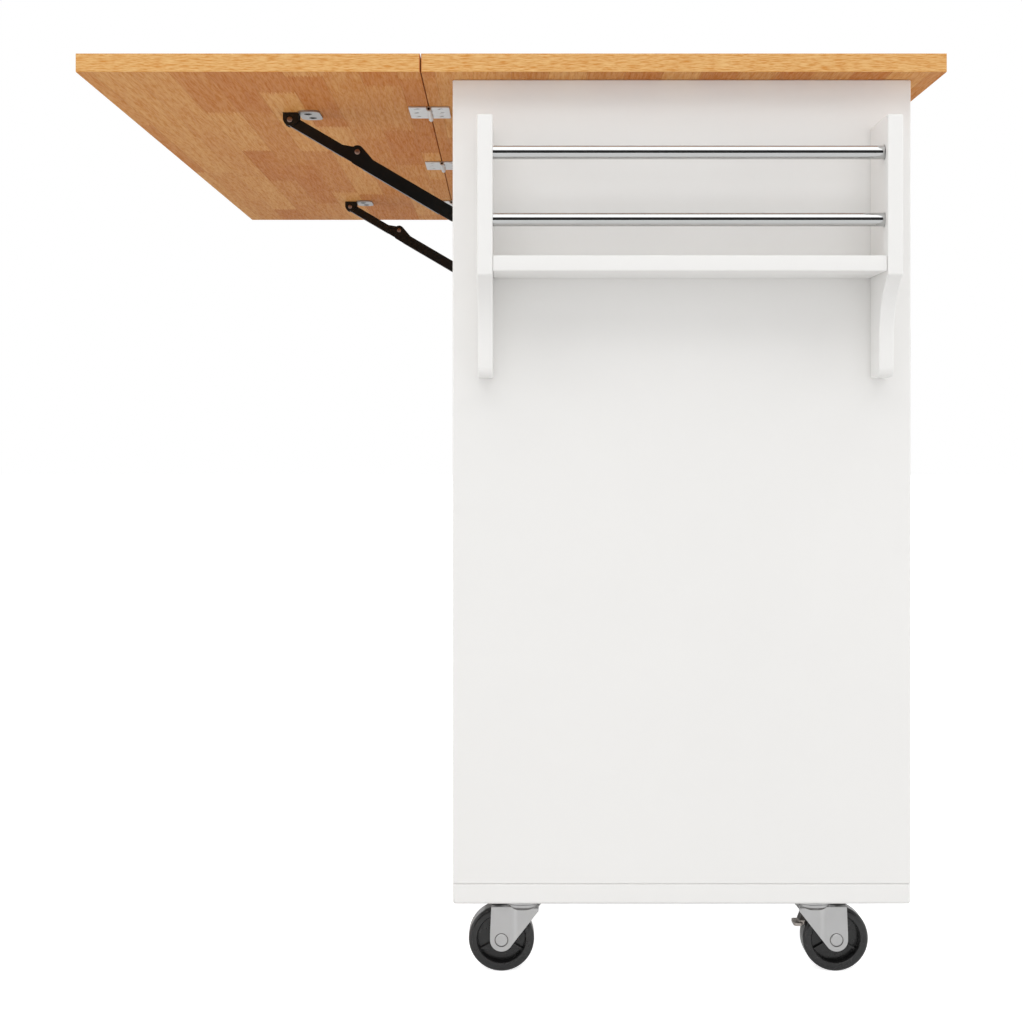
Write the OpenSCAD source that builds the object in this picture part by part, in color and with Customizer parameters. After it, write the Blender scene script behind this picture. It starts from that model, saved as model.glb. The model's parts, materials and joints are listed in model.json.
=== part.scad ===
// Drop leaf kitchen island on casters.
// X runs across the cabinet towards its front, Y along its length away from the spice rack's end,
// and Z up from the floor. The origin lies on the floor, under the middle of the whole island with
// its leaf raised.

/* [Worktop] */
// Length of the worktop and of the leaf
top_length = 1145; // [1000:5:1300]
// Depth of the fixed worktop, from its hinged edge to its front edge
top_depth = 510; // [470:5:560]
// Depth of the drop leaf
leaf_depth = 334; // [290:2:380]
// Thickness of the worktop and of the leaf
top_thick = 18; // [16:1:28]
// Gap between the worktop and the leaf
joint_gap = 1; // [0.6:0.2:1.6]
// Radius on the edges of the worktop and of the leaf
top_edge_r = 0.6; // [0.4:0.2:3]
// Radius on the corners of the worktop and of the leaf, seen from above
top_corner_r = 1.5; // [1:0.5:8]
// Height of the worktop above the floor
worktop_height = 910; // [860:5:960]

/* [Cabinet] */
// Overhang of the worktop past each end panel
end_overhang = 35.6; // [25:0.2:45]
// Overhang of the worktop past the front
front_overhang = 26.8; // [26:0.2:45]
// Overhang of the worktop past the rear
rear_overhang = 29.6; // [27:0.2:33]
// Thickness of the end panels and of the divider
panel_thick = 15; // [15:1:20]
// Thickness of the base board
base_thick = 20; // [16:1:28]
// Radius on the base board's lower edges
base_edge_r = 3; // [1:0.5:5]
// Thickness of the back panel
back_thick = 9; // [6:1:12]
// How far the back panel sits in from the rear edges of the end panels
back_recess = 5.8; // [4:0.2:8]
// Thickness of the rails across the front
rail_thick = 18; // [15:1:22]
// Depth of the rails across the front
rail_depth = 60; // [50:2:90]
// Thickness of the shelves in the cupboards
shelf_thick = 15; // [12:1:18]
// How far a shelf stops behind the doors
shelf_setback = 14; // [10:1:40]
// Radius of a shelf pin
shelf_pin_r = 2.5; // [2:0.5:3]
// Depth of a shelf pin's hole
shelf_pin_bite = 6; // [5:0.5:6.5]
// How far a shelf pin stands out of its panel
shelf_pin_reach = 9; // [7:1:12]
// Distance of the shelf pins from the back panel and from the shelf's front edge
shelf_pin_inset = 45; // [35:5:70]
// Distance between the holes that a shelf can be set at
shelf_hole_pitch = 32; // [25:1:40]

/* [Doors and drawers] */
// Thickness of the doors and of the drawer fronts
front_thick = 18; // [16:1:20]
// Gap round a door or a drawer front
front_gap = 2; // [1.6:0.2:3]
// Height of a drawer front
drawer_front_h = 134; // [120:2:160]
// Width of the flat frame round a sunk centre
frame_w = 52; // [40:2:60]
// Width of the flat frame round a drawer front's sunk centre
drawer_frame_w = 30; // [24:2:36]
// Depth of the sunk centre of a door or of a drawer front
frame_sink = 5; // [3:0.5:7]
// Depth of a drawer box, from its front to its back
drawer_depth = 350; // [300:5:380]
// Height of a drawer box
drawer_box_h = 96; // [80:2:104]
// Thickness of a drawer box's sides and back
drawer_wall = 12; // [10:1:15]
// Thickness of a drawer's bottom
drawer_floor = 5; // [4:1:8]
// Space beside a drawer box for its slide
slide_space = 12.7; // [12:0.1:14]
// Height of a drawer slide
slide_h = 42; // [36:1:46]
// Length of a drawer slide
slide_length = 340; // [290:5:340]
// Thickness of the slides' sheet steel
slide_sheet = 1.5; // [1.2:0.1:2]
// Radius of a knob
knob_r = 15; // [12:0.5:17]
// How far a knob stands out
knob_reach = 24; // [20:0.5:25]
// Distance of a door's knob from the door's free edge
knob_inset = 27; // [22:1:40]
// Distance of a door's knob below the top of its door
knob_drop = 90; // [60:5:200]

/* [Door hinges] */
// Length of a door hinge
door_hinge_h = 50; // [40:1:64]
// Radius of a door hinge's knuckle
door_knuckle_r = 2.4; // [2.2:0.1:2.6]
// Radius of a door hinge's pin
door_pin_r = 1.2; // [1:0.1:1.4]
// How far a door hinge's pin sits in front of the door
door_pin_out = 1.2; // [1:0.1:1.6]
// Gap between a door's hinged edge and the end panel
hinge_edge_gap = 3; // [2.8:0.1:3.4]
// Thickness of a door hinge's plates
door_plate_thick = 1.1; // [0.9:0.1:1.2]
// Distance from a door's end to its nearer hinge
door_hinge_end = 70; // [50:5:110]

/* [Leaf hinges] */
// Length of a leaf hinge along its pin
leaf_hinge_l = 63; // [50:1:76]
// Width of a leaf hinge laid open
leaf_hinge_w = 43.6; // [38:0.2:46]
// Distance from the end of the worktop to the middle of its first hinge
leaf_hinge_inset = 204; // [150:2:260]
// Radius of a leaf hinge's knuckle
leaf_knuckle_r = 2.6; // [2.4:0.1:3]
// Radius of a leaf hinge's pin
leaf_pin_r = 1.4; // [1.2:0.1:1.6]
// Thickness of a leaf hinge's plates
leaf_plate_thick = 1.6; // [1.2:0.1:2]
// Radius of the shank hole of a hinge screw
screw_r = 1.9; // [1.5:0.1:2.2]
// Radius of the countersink of a hinge screw
screw_head_r = 3.6; // [3:0.1:4]
// How far a leaf hinge's pin ends inside its knuckle
leaf_pin_sunk = 1.6; // [0.8:0.2:3]

/* [Leaf supports] */
// Distance from the end of the worktop to the web of the near support
near_strut_inset = 200; // [160:5:240]
// Distance from the same end to the web of the far support
far_strut_inset = 915; // [860:5:940]
// Angle of a locked support from the horizontal
strut_angle = 30.4; // [30:0.1:31]
// Distance from the leaf's hinge pin to the pivot on the leaf
strut_anchor = 153.3; // [151:0.1:155]
// Distance of the pivot on the leaf below the underside
strut_drop = 7.8; // [7.6:0.1:8.4]
// Distance of the pivot on the cabinet behind the back panel
wall_standoff = 10; // [9.6:0.1:10.6]
// Distance between the pivots of the upper link, along the locked support
upper_reach = 82.8; // [82:0.1:84]
// Height of the elbow's rivet above the middle line of the locked support
elbow_rise = 6.2; // [5.8:0.1:6.6]
// Width of the lower link
lower_link_w = 14.4; // [12:0.2:15]
// Width of the upper link
upper_link_w = 11.4; // [10:0.2:12]
// Depth of the links' channel section
link_channel = 9; // [7:0.5:10]
// Thickness of the links' sheet steel
link_sheet = 1.8; // [1.5:0.1:2.2]
// Gap between the two links at the elbow
link_gap = 0.5; // [0.4:0.1:0.8]
// Radius of the hump round the elbow's rivet
hump_r = 7.2; // [6.5:0.1:8]
// Radius of a rivet's shank
rivet_r = 2.2; // [1.8:0.1:2.4]
// Radius of a rivet's head
rivet_head_r = 3; // [2.8:0.1:3.6]
// Height of a rivet's head
rivet_head_h = 1.4; // [1:0.1:2]
// Length of the mounting plate on the leaf
leaf_plate_l = 50; // [44:1:60]
// Width of the mounting plate on the leaf
leaf_plate_w = 23; // [20:1:28]

/* [Spice rack] */
// Depth of the rack from the end panel
rack_depth = 79; // [70:1:95]
// Distance of the rack's boards from the end panel's edges
rack_inset = 25.6; // [12:0.2:60]
// Thickness of the rack's boards
rack_board = 14.6; // [12:0.2:18]
// Height of the rack's boards
rack_height = 247; // [230:1:280]
// Distance from the worktop's underside to the top of the rack
rack_drop = 48.8; // [35:0.2:70]
// Height of the full depth part of a board
rack_square_h = 151.8; // [146:0.2:160]
// Depth of a board below its curve
rack_foot_depth = 40; // [34:1:50]
// Height of the curve from the full depth to the foot
rack_curve_h = 59.4; // [50:0.2:70]
// Radius on the lower front corner of a board
rack_toe_r = 10; // [6:1:16]
// Thickness of the rack's shelf
rack_shelf_thick = 15; // [12:1:18]
// Distance from the top of a board to the top of the shelf
rack_shelf_drop = 133.2; // [126:0.2:138]
// How far the shelf's front edge sits behind the boards' front edges
rack_shelf_setback = 1.4; // [1:0.2:6]
// Radius of a rail
rail_r = 6.5; // [5:0.5:8]
// Distance from the boards' front edge to the rails' middle
rail_setback = 17; // [12:1:24]
// Distances from the top of a board to the middle of each rail
rail_drops = [33.6, 97.6];
// How deep a rail goes into each board
rail_bite = 6; // [4:0.5:9]

/* [Casters] */
// Height of a caster with its plate
caster_height = 75.4; // [75:0.2:80]
// Radius of a wheel
wheel_r = 33; // [30:0.5:33]
// Width of a wheel
wheel_w = 25; // [22:1:26]
// Radius inside a wheel's rim
rim_r = 24.2; // [22:0.2:25]
// Depth of the hollow in each side of a wheel
hub_sink = 10; // [8:0.5:10.5]
// How far a wheel's ribs lie inside its hollow
rib_sink = 6.5; // [4:0.5:7]
// Radius of the boss round a wheel's bore
boss_r = 9; // [7:0.5:10]
// Thickness of a wheel's ribs
rib_thick = 1.8; // [1.4:0.2:2.6]
// Number of ribs on each side of a wheel
rib_count = 3; // [3:1:6]
// Distance from the swivel's axis to the axle
trail = 21; // [19:0.5:23]
// Thickness of a fork's sheet steel
fork_sheet = 2; // [1.6:0.1:2.4]
// Outer radius of a fork's bends
fork_bend_r = 4.6; // [3:0.1:5]
// Gap between a wheel's boss and each leg of its fork
wheel_side_gap = 0.5; // [0.4:0.1:1]
// Radius of the round end of a fork's leg
leg_end_r = 11.4; // [9.5:0.1:12]
// Distance from the axle to the leg's upright edge, at its top
leg_back = 10.1; // [9:0.1:11]
// Distance from the swivel's axis to the leg's corner
leg_front = 16.4; // [15:0.1:18]
// Height of the straight part above the leg's corner
leg_corner_h = 6.6; // [5:0.2:8]
// Radius of the bearing cup of a swivel, at its top
cup_r = 20; // [18:0.5:21]
// Height of the bearing cup
cup_h = 5.6; // [5:0.1:6]
// Radius of a swivel's king pin
king_pin_r = 4.5; // [4:0.1:5]
// Radius of an axle
axle_r = 3.4; // [3:0.1:4]
// Radius of an axle's cap
axle_cap_r = 6; // [5:0.1:7]
// Thickness of the mounting plate of a caster
caster_plate_thick = 2.2; // [2:0.1:3]
// Length of the mounting plate of a caster
caster_plate_l = 62; // [56:1:70]
// Width of the mounting plate of a caster
caster_plate_w = 46; // [44:1:50]
// Distance from the end panel's outer face to the middle of a wheel
caster_end_inset = 39.5; // [32:0.5:60]
// Distance from the cabinet's rear to a rear swivel's axis
rear_swivel_inset = 69.2; // [60:0.2:110]
// Distance from the cabinet's front to a front swivel's axis
front_swivel_inset = 89.9; // [60:0.2:110]
// How far the axle's half of a leg stands out of its other half
leg_step = 0.9; // [0.6:0.1:1.2]
// Width of a brake pedal
pedal_w = 20; // [16:1:24]
// Width of a brake's arm
brake_arm_w = 14; // [10:1:18]

/* [Hidden] */
$fn = 64;

// Finishes as plain colours
WHITE = [0.93, 0.93, 0.92];
OAK = [0.86, 0.60, 0.33];
OAK_DARK = [0.80, 0.52, 0.27];
PLY = [0.88, 0.78, 0.62];
ZINC = [0.74, 0.75, 0.76];
CHROME = [0.82, 0.84, 0.86];
BLACK = [0.08, 0.08, 0.08];
COPPER = [0.55, 0.38, 0.32];
WHEEL_BLACK = [0.13, 0.13, 0.13];
NICKEL = [0.70, 0.69, 0.66];
BRAKE_GREY = [0.50, 0.47, 0.44];

// Clearances between pieces
seat = 0.3;        // gap that only just keeps a moving piece off its neighbour
running = 0.06;    // radial gap of a pin in its bore
plate_gap = 0.4;   // gap beside a hinge's knuckles
shelf_play = 0.5;  // gap at each end of a cupboard shelf
cut = 1;           // how far a cutting shape runs past a face

// Levels, from the floor up
underside_z = worktop_height - top_thick;
base_z0 = caster_height;
base_z1 = base_z0 + base_thick;
top_rail_z0 = underside_z - rail_thick;
drawer_front_z1 = top_rail_z0 - front_gap;
drawer_front_z0 = drawer_front_z1 - drawer_front_h;
mid_rail_z1 = drawer_front_z0 - front_gap;
mid_rail_z0 = mid_rail_z1 - rail_thick;
door_z1 = mid_rail_z0 - front_gap;
door_z0 = base_z1 + front_gap;
shelf_z0 = (base_z1 + mid_rail_z0 - shelf_thick) / 2;
drawer_box_z0 = (mid_rail_z1 + top_rail_z0 - drawer_box_h) / 2;
slide_z = drawer_box_z0 + drawer_box_h / 2;

// Planes across X, from the leaf to the front
overall_x = leaf_depth + joint_gap + top_depth;
leaf_x0 = -overall_x / 2;
leaf_x1 = leaf_x0 + leaf_depth;
top_x0 = leaf_x1 + joint_gap;
top_x1 = top_x0 + top_depth;
cabinet_x0 = top_x0 + rear_overhang;
cabinet_x1 = top_x1 - front_overhang;
back_x0 = cabinet_x0 + back_recess;
back_x1 = back_x0 + back_thick;
front_back_x = cabinet_x1 - front_thick;

// Planes along Y, from the rack to the far end
overall_y = rack_depth - end_overhang + top_length;
top_y1 = overall_y / 2;
top_y0 = top_y1 - top_length;
cabinet_y0 = top_y0 + end_overhang;
cabinet_y1 = top_y1 - end_overhang;
inner_y0 = cabinet_y0 + panel_thick;
inner_y1 = cabinet_y1 - panel_thick;
divider_y0 = (cabinet_y0 + cabinet_y1 - panel_thick) / 2;
divider_y1 = divider_y0 + panel_thick;
NEAR_BAY = [inner_y0, divider_y0];
FAR_BAY = [divider_y1, inner_y1];
BAYS = [NEAR_BAY, FAR_BAY];

// Leaf hinges
leaf_pin_x = top_x0 - joint_gap / 2;
leaf_pin_z = underside_z - leaf_knuckle_r - 0.1;
leaf_hinge_ys = [top_y0 + leaf_hinge_inset, (top_y0 + top_y1) / 2, top_y1 - leaf_hinge_inset];
KNUCKLES = 5;
knuckle_gap = 0.3;
// Hinge screws: distance from the pin, and place along the hinge as a share of its length
HINGE_SCREWS = [[12.5, 0.16], [13.8, 0.5], [12.5, 0.84]];

// Leaf supports: the wall pivot, the leaf pivot and the locked support's direction and normal
near_strut_y = top_y0 + near_strut_inset;
far_strut_y = top_y0 + far_strut_inset;
leaf_pivot = [leaf_pin_x - strut_anchor, underside_z - strut_drop];
wall_pivot_x = back_x0 - wall_standoff;
strut_span = wall_pivot_x - leaf_pivot.x;
wall_pivot = [wall_pivot_x, leaf_pivot.y - strut_span * tan(strut_angle)];
strut_length = strut_span / cos(strut_angle);
lower_reach = strut_length - upper_reach;
strut_along = [-cos(strut_angle), sin(strut_angle)];
strut_normal = [sin(strut_angle), cos(strut_angle)];
elbow = wall_pivot + lower_reach * strut_along + elbow_rise * strut_normal;
upper_web_y = link_channel + link_gap;
upper_flange_y = upper_web_y + link_channel;
cheek_thick = 1.5;
cheek_gap = 0.4;
clevis_web = 1.4;
clevis_behind = 7.4;
clevis_ahead = 10.3;
ear_thick = 2;
foot_l = 34;      // wall bracket's foot plate: length along Y
foot_half = 14;   // and half its height
flange_start = 15;

// Spice rack
rack_x0 = cabinet_x0 + rack_inset;
rack_x1 = cabinet_x1 - rack_inset;
rack_y0 = cabinet_y0 - rack_depth;
rack_z1 = underside_z - rack_drop;
rack_z0 = rack_z1 - rack_height;
curve_step = rack_depth - rack_foot_depth;
curve_r = (curve_step * curve_step + rack_curve_h * rack_curve_h) / (2 * curve_step);

// Casters, in a frame of their own with the swivel's axis on Z and the wheel trailing to -X
near_caster_y = cabinet_y0 + caster_end_inset;
far_caster_y = cabinet_y1 - caster_end_inset;
rear_swivel_x = cabinet_x0 + rear_swivel_inset;
front_swivel_x = cabinet_x1 - front_swivel_inset;
caster_plate_z0 = caster_height - caster_plate_thick;
boss_half = wheel_w / 2 + 0.3 + leg_step;
fork_inner = wheel_w / 2 + 0.3 + wheel_side_gap;
fork_outer = fork_inner + fork_sheet;
axle_half = fork_outer + leg_step;
leg_step_x = [-11, -6];   // where the step across a leg ends and begins
axle_cap_h = 1.2;
axle_cap_sunk = 0.9;
axle_cap_ring = 0.8;
wheel_clearance = 0.7;
crown_z0 = 2 * wheel_r + wheel_clearance - 0.1;
crown_z1 = crown_z0 + fork_sheet;
leg_step_z = crown_z1 - 2.4;
race_gap = 0.4;
king_head_h = 2.4;
axle_at = [-trail, wheel_r];
leg_corner = [leg_front, crown_z1 - leg_corner_h];
pedal_pivot = [8, crown_z1 - 8.4];
pedal_pin_r = 1.6;
pedal_pin_bite = 1.2;   // how deep the pedal's pin goes into each leg

// Unit vector at an angle
function heading(a) = [cos(a), sin(a)];

// Point where the tangent from a point outside a circle meets it, on the clockwise side
function tangent_point(p, c, r) =
  let (d = norm(p - c), a = atan2(p.y - c.y, p.x - c.x)) c + r * heading(a - acos(r / d));

// Point in a support's own frame: s along the locked support from the wall pivot, n above it
function on_strut(s, n = 0) = wall_pivot + s * strut_along + n * strut_normal;

// ---- Shapes that repeat ----

// Solid box between two opposite corners
module slab(lo, hi) {
  translate(lo) cube(hi - lo);
}

// Rectangle from the origin with round corners
module round_rect(w, h, r) {
  translate([r, 0]) square([w - 2 * r, h]);
  translate([0, r]) square([w, h - 2 * r]);
  for (x = [r, w - r], y = [r, h - r]) translate([x, y]) circle(r);
}

// Board between two opposite corners with round edges and round corners
module round_board(lo, hi, edge_r, corner_r) {
  s = hi - lo;
  translate(lo) intersection() {
    translate([0, s.y, 0]) rotate([90, 0, 0]) linear_extrude(s.y) round_rect(s.x, s.z, edge_r);
    rotate([90, 0, 90]) linear_extrude(s.x) round_rect(s.y, s.z, edge_r);
    linear_extrude(s.z) round_rect(s.x, s.y, corner_r);
  }
}

// Outline drawn in X and Z, given a thickness along Y from y0 on
module sheet(y0, thick) {
  translate([0, y0 + thick, 0]) rotate([90, 0, 0]) linear_extrude(thick) children();
}

// Outline drawn in Y and Z, given a thickness along X from x0 on
module side_sheet(x0, thick) {
  translate([x0, 0, 0]) rotate([90, 0, 90]) linear_extrude(thick) children();
}

// Two circles joined by their outer tangents
module capsule(p, q, rp, rq) {
  a = atan2(q.y - p.y, q.x - p.x);
  b = acos((rp - rq) / norm(q - p));
  translate(p) circle(rp);
  translate(q) circle(rq);
  polygon([p + rp * heading(a + b), q + rq * heading(a + b), q + rq * heading(a - b),
           p + rp * heading(a - b)]);
}

// Round bar along Y
module y_bar(at, y0, y1, r) {
  translate([at.x, y1, at.y]) rotate([90, 0, 0]) cylinder(h = y1 - y0, r = r);
}

// Round bar along X
module x_bar(x0, x1, y, z, r) {
  translate([x0, y, z]) rotate([0, 90, 0]) cylinder(h = x1 - x0, r = r);
}

// Low domed head of a rivet, standing along -Y from the plane y
module rivet_head(at, y) {
  translate([at.x, y, at.y]) rotate([90, 0, 0]) rotate_extrude()
    polygon([[0, 0], [rivet_head_r, 0], [rivet_head_r, 0.3 * rivet_head_h],
             [0.7 * rivet_head_r, 0.85 * rivet_head_h], [0.3 * rivet_head_r, rivet_head_h],
             [0, rivet_head_h]]);
}

// ---- Cabinet ----

module base_board() {
  color(WHITE) {
    round_board([cabinet_x0, cabinet_y0, base_z0], [cabinet_x1, cabinet_y1, base_z1 - base_edge_r],
                base_edge_r, base_edge_r);
    slab([cabinet_x0, cabinet_y0 + base_edge_r, base_z0 + base_edge_r],
         [cabinet_x1, cabinet_y1 - base_edge_r, base_z1]);
    slab([cabinet_x0 + base_edge_r, cabinet_y0, base_z0 + base_edge_r],
         [cabinet_x1 - base_edge_r, cabinet_y1, base_z1]);
    for (x = [cabinet_x0 + base_edge_r, cabinet_x1 - base_edge_r],
         y = [cabinet_y0 + base_edge_r, cabinet_y1 - base_edge_r])
      translate([x, y, base_z0 + base_edge_r]) cylinder(h = base_thick - base_edge_r, r = base_edge_r);
  }
}

// Two columns of holes, in which the shelf can be set at five heights
module shelf_pin_holes(y0, y1) {
  for (x = shelf_pin_xs(), step = [-2 : 2])
    y_bar([x, shelf_z0 - shelf_pin_r + step * shelf_hole_pitch], y0, y1, shelf_pin_r);
}

module near_end_panel() {
  color(WHITE) difference() {
    slab([cabinet_x0, cabinet_y0, base_z1], [cabinet_x1, inner_y0, underside_z]);
    shelf_pin_holes(inner_y0 - shelf_pin_bite, inner_y0 + cut);
    door_hinge_relief(1);
  }
}

module far_end_panel() {
  color(WHITE) difference() {
    slab([cabinet_x0, inner_y1, base_z1], [cabinet_x1, cabinet_y1, underside_z]);
    shelf_pin_holes(inner_y1 - cut, inner_y1 + shelf_pin_bite);
    door_hinge_relief(-1);
  }
}

module back_panel() {
  color(WHITE) slab([back_x0, inner_y0, base_z1], [back_x1, inner_y1, underside_z]);
}

module centre_divider() {
  color(WHITE) difference() {
    slab([back_x1, divider_y0, base_z1], [cabinet_x1, divider_y1, underside_z]);
    shelf_pin_holes(divider_y0 - cut, divider_y0 + shelf_pin_bite);
    shelf_pin_holes(divider_y1 - shelf_pin_bite, divider_y1 + cut);
  }
}

module front_rails() {
  color(WHITE) for (bay = BAYS, z = [mid_rail_z0, top_rail_z0])
    slab([cabinet_x1 - rail_depth, bay[0], z], [cabinet_x1, bay[1], z + rail_thick]);
}

function shelf_pin_xs() =
  [back_x1 + shelf_pin_inset, front_back_x - shelf_setback - shelf_pin_inset];

module cupboard_shelves() {
  color(WHITE) for (bay = BAYS)
    slab([back_x1 + seat, bay[0] + shelf_play, shelf_z0],
         [front_back_x - shelf_setback, bay[1] - shelf_play, shelf_z0 + shelf_thick]);
}

module shelf_pins() {
  color(ZINC) for (bay = BAYS, x = shelf_pin_xs()) {
    y_bar([x, shelf_z0 - shelf_pin_r], bay[0] - shelf_pin_bite, bay[0] + shelf_pin_reach,
          shelf_pin_r);
    y_bar([x, shelf_z0 - shelf_pin_r], bay[1] - shelf_pin_reach, bay[1] + shelf_pin_bite,
          shelf_pin_r);
  }
}

// Magnetic catch under the middle rail, behind the free edge of each door
module door_catches() {
  catch = [14, 40, 12];
  color(BLACK) for (y = [divider_y0 - 20 - catch.y, divider_y1 + 20])
    translate([front_back_x - seat - catch.x, y, mid_rail_z0 - catch.z]) cube(catch);
}

// ---- Worktop and leaf ----

module worktop() {
  color(OAK) round_board([top_x0, top_y0, underside_z], [top_x1, top_y1, worktop_height],
                         top_edge_r, top_corner_r);
}

module drop_leaf_board() {
  color(OAK) round_board([leaf_x0, top_y0, underside_z], [leaf_x1, top_y1, worktop_height],
                         top_edge_r, top_corner_r);
}

// Plate of a leaf hinge on one side of the pin: side 1 towards the cabinet, -1 towards the leaf.
// The plate keeps its own knuckles and is cut back round those of the other plate.
module leaf_hinge_plate(y, side, own) {
  pitch = leaf_hinge_l / KNUCKLES;
  y0 = y - leaf_hinge_l / 2;
  x1 = leaf_hinge_w / 2;
  cut_back = leaf_knuckle_r + plate_gap;
  translate([leaf_pin_x, 0, 0]) mirror([side < 0 ? 1 : 0, 0, 0]) difference() {
    union() {
      translate([cut_back, y0, underside_z - leaf_plate_thick])
        linear_extrude(leaf_plate_thick) {
          square([4, leaf_hinge_l]);
          round_rect(x1 - cut_back, leaf_hinge_l, 2.5);
        }
      for (i = own) {
        ya = y0 + i * pitch + (i == 0 ? 0 : knuckle_gap / 2);
        yb = y0 + (i + 1) * pitch - (i == KNUCKLES - 1 ? 0 : knuckle_gap / 2);
        y_bar([0, leaf_pin_z], ya, yb, leaf_knuckle_r);
        slab([0, ya, underside_z - leaf_plate_thick],
             [cut_back + cut, yb, leaf_pin_z + leaf_knuckle_r]);
      }
    }
    y_bar([0, leaf_pin_z], y0 - cut, y0 + leaf_hinge_l + cut, leaf_pin_r + running);
    for (spot = HINGE_SCREWS)
      translate([spot[0], y0 + spot[1] * leaf_hinge_l, underside_z - leaf_plate_thick - cut]) {
        cylinder(h = leaf_plate_thick + 2 * cut, r = screw_r);
        translate([0, 0, cut])
          cylinder(h = screw_head_r - screw_r, r1 = screw_head_r, r2 = screw_r);
      }
  }
}

module leaf_hinge_fixed_leaves() {
  color(ZINC) for (y = leaf_hinge_ys) leaf_hinge_plate(y, 1, [0, 2, 4]);
}

module leaf_hinge_swing_leaves() {
  color(ZINC) for (y = leaf_hinge_ys) leaf_hinge_plate(y, -1, [1, 3]);
}

module leaf_hinge_pins() {
  color(ZINC) for (y = leaf_hinge_ys)
    y_bar([leaf_pin_x, leaf_pin_z], y - leaf_hinge_l / 2 + leaf_pin_sunk,
          y + leaf_hinge_l / 2 - leaf_pin_sunk, leaf_pin_r);
}

// ---- Folding supports ----

// Web of a link: its bar, the hump round the elbow's rivet and the round end at its other pivot
module link_outline(end, foot, past, w, hump) {
  w2 = w / 2;
  capsule(on_strut(end), on_strut(foot), w2, w2);
  capsule(elbow, on_strut(foot + 15 * past), hump, w2);
  capsule(elbow, on_strut(foot), hump, w2);
}

// Two flanges along a link, from s0 to s1 along the locked support
module link_flanges(y0, depth, s0, s1, w) {
  for (n = [w / 2 - link_sheet, -w / 2])
    sheet(y0, depth)
      polygon([on_strut(s0, n), on_strut(s1, n), on_strut(s1, n + link_sheet),
               on_strut(s0, n + link_sheet)]);
}

module lower_link(y) {
  difference() {
    union() {
      sheet(y, link_sheet) link_outline(0, lower_reach - 3, -1, lower_link_w, hump_r);
      link_flanges(y, link_channel, flange_start, lower_reach - 14, lower_link_w);
    }
    y_bar(wall_pivot, y - cut, y + link_channel, rivet_r + running);
    y_bar(elbow, y - cut, y + link_channel, rivet_r);
  }
}

module upper_link(y) {
  web = y + upper_web_y;
  difference() {
    union() {
      sheet(web, link_sheet)
        link_outline(strut_length, lower_reach + 3, 1, upper_link_w, hump_r - 0.8);
      link_flanges(web, link_channel, lower_reach + 14, strut_length - 2, upper_link_w);
      y_bar(elbow, web, web + 4, rivet_r + 1.6);
    }
    y_bar(leaf_pivot, web - cut, web + link_channel + cut, rivet_r + running);
  }
}

// Rivet of the elbow, closed over inside the lower link's channel
module elbow_rivet(y) {
  rivet_head(elbow, y);
  y_bar(elbow, y, y + link_sheet, rivet_r);
  y_bar(elbow, y + link_sheet, y + link_sheet + 1.6, rivet_head_r);
}

module near_lower_link() { color(BLACK) lower_link(near_strut_y); }
module far_lower_link() { color(BLACK) lower_link(far_strut_y); }
module near_upper_link() { color(BLACK) upper_link(near_strut_y); }
module far_upper_link() { color(BLACK) upper_link(far_strut_y); }
module near_elbow_rivet() { color(COPPER) elbow_rivet(near_strut_y); }
module far_elbow_rivet() { color(COPPER) elbow_rivet(far_strut_y); }

// Bracket on the back panel: a foot plate, an ear beside the lower link's web and the pivot pin
module strut_wall_brackets() {
  ear_r = 6;
  color(BLACK) for (y = [near_strut_y, far_strut_y]) {
    ear_y = y + link_sheet + seat;
    sheet(ear_y, ear_thick) {
      translate(wall_pivot) circle(ear_r);
      translate([wall_pivot.x, wall_pivot.y - ear_r]) square([wall_standoff, 2 * ear_r]);
    }
    translate([back_x0 - ear_thick, ear_y, wall_pivot.y - foot_half])
      cube([ear_thick, foot_l, 2 * foot_half]);
    y_bar(wall_pivot, y, ear_y + ear_thick, rivet_r);
    rivet_head(wall_pivot, y - seat);
    y_bar(wall_pivot, y - seat, y, rivet_r);
  }
}

// Where the cheeks of the clevis on the leaf lie beside the upper link
function cheek_ys(y) = [y + upper_web_y - cheek_gap - cheek_thick, y + upper_flange_y + cheek_gap];

module strut_leaf_clevises() {
  x0 = leaf_pivot.x - clevis_behind;
  x1 = leaf_pivot.x + clevis_ahead;
  low = leaf_pivot.y - 6.4;
  color(BLACK) for (y = [near_strut_y, far_strut_y]) {
    difference() {
      union() {
        for (cheek = cheek_ys(y))
          sheet(cheek, cheek_thick)
            polygon([[x0, underside_z], [x0, low + 6], [x0 + 2, low + 2], [x0 + 5, low],
                     [leaf_pivot.x + 4, low], [x1, low + 5], [x1, underside_z]]);
        slab([x0, cheek_ys(y)[0], underside_z - clevis_web],
             [x1, cheek_ys(y)[1] + cheek_thick, underside_z]);
      }
      y_bar(leaf_pivot, cheek_ys(y)[0] - cut, cheek_ys(y)[1] + cheek_thick + cut, rivet_r);
    }
  }
}

module strut_leaf_rivets() {
  color(COPPER) for (y = [near_strut_y, far_strut_y]) {
    y0 = cheek_ys(y)[0];
    y1 = cheek_ys(y)[1] + cheek_thick;
    y_bar(leaf_pivot, y0, y1, rivet_r);
    rivet_head(leaf_pivot, y0);
    translate([0, 2 * y1, 0]) mirror([0, 1, 0]) rivet_head(leaf_pivot, y1);
  }
}

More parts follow.
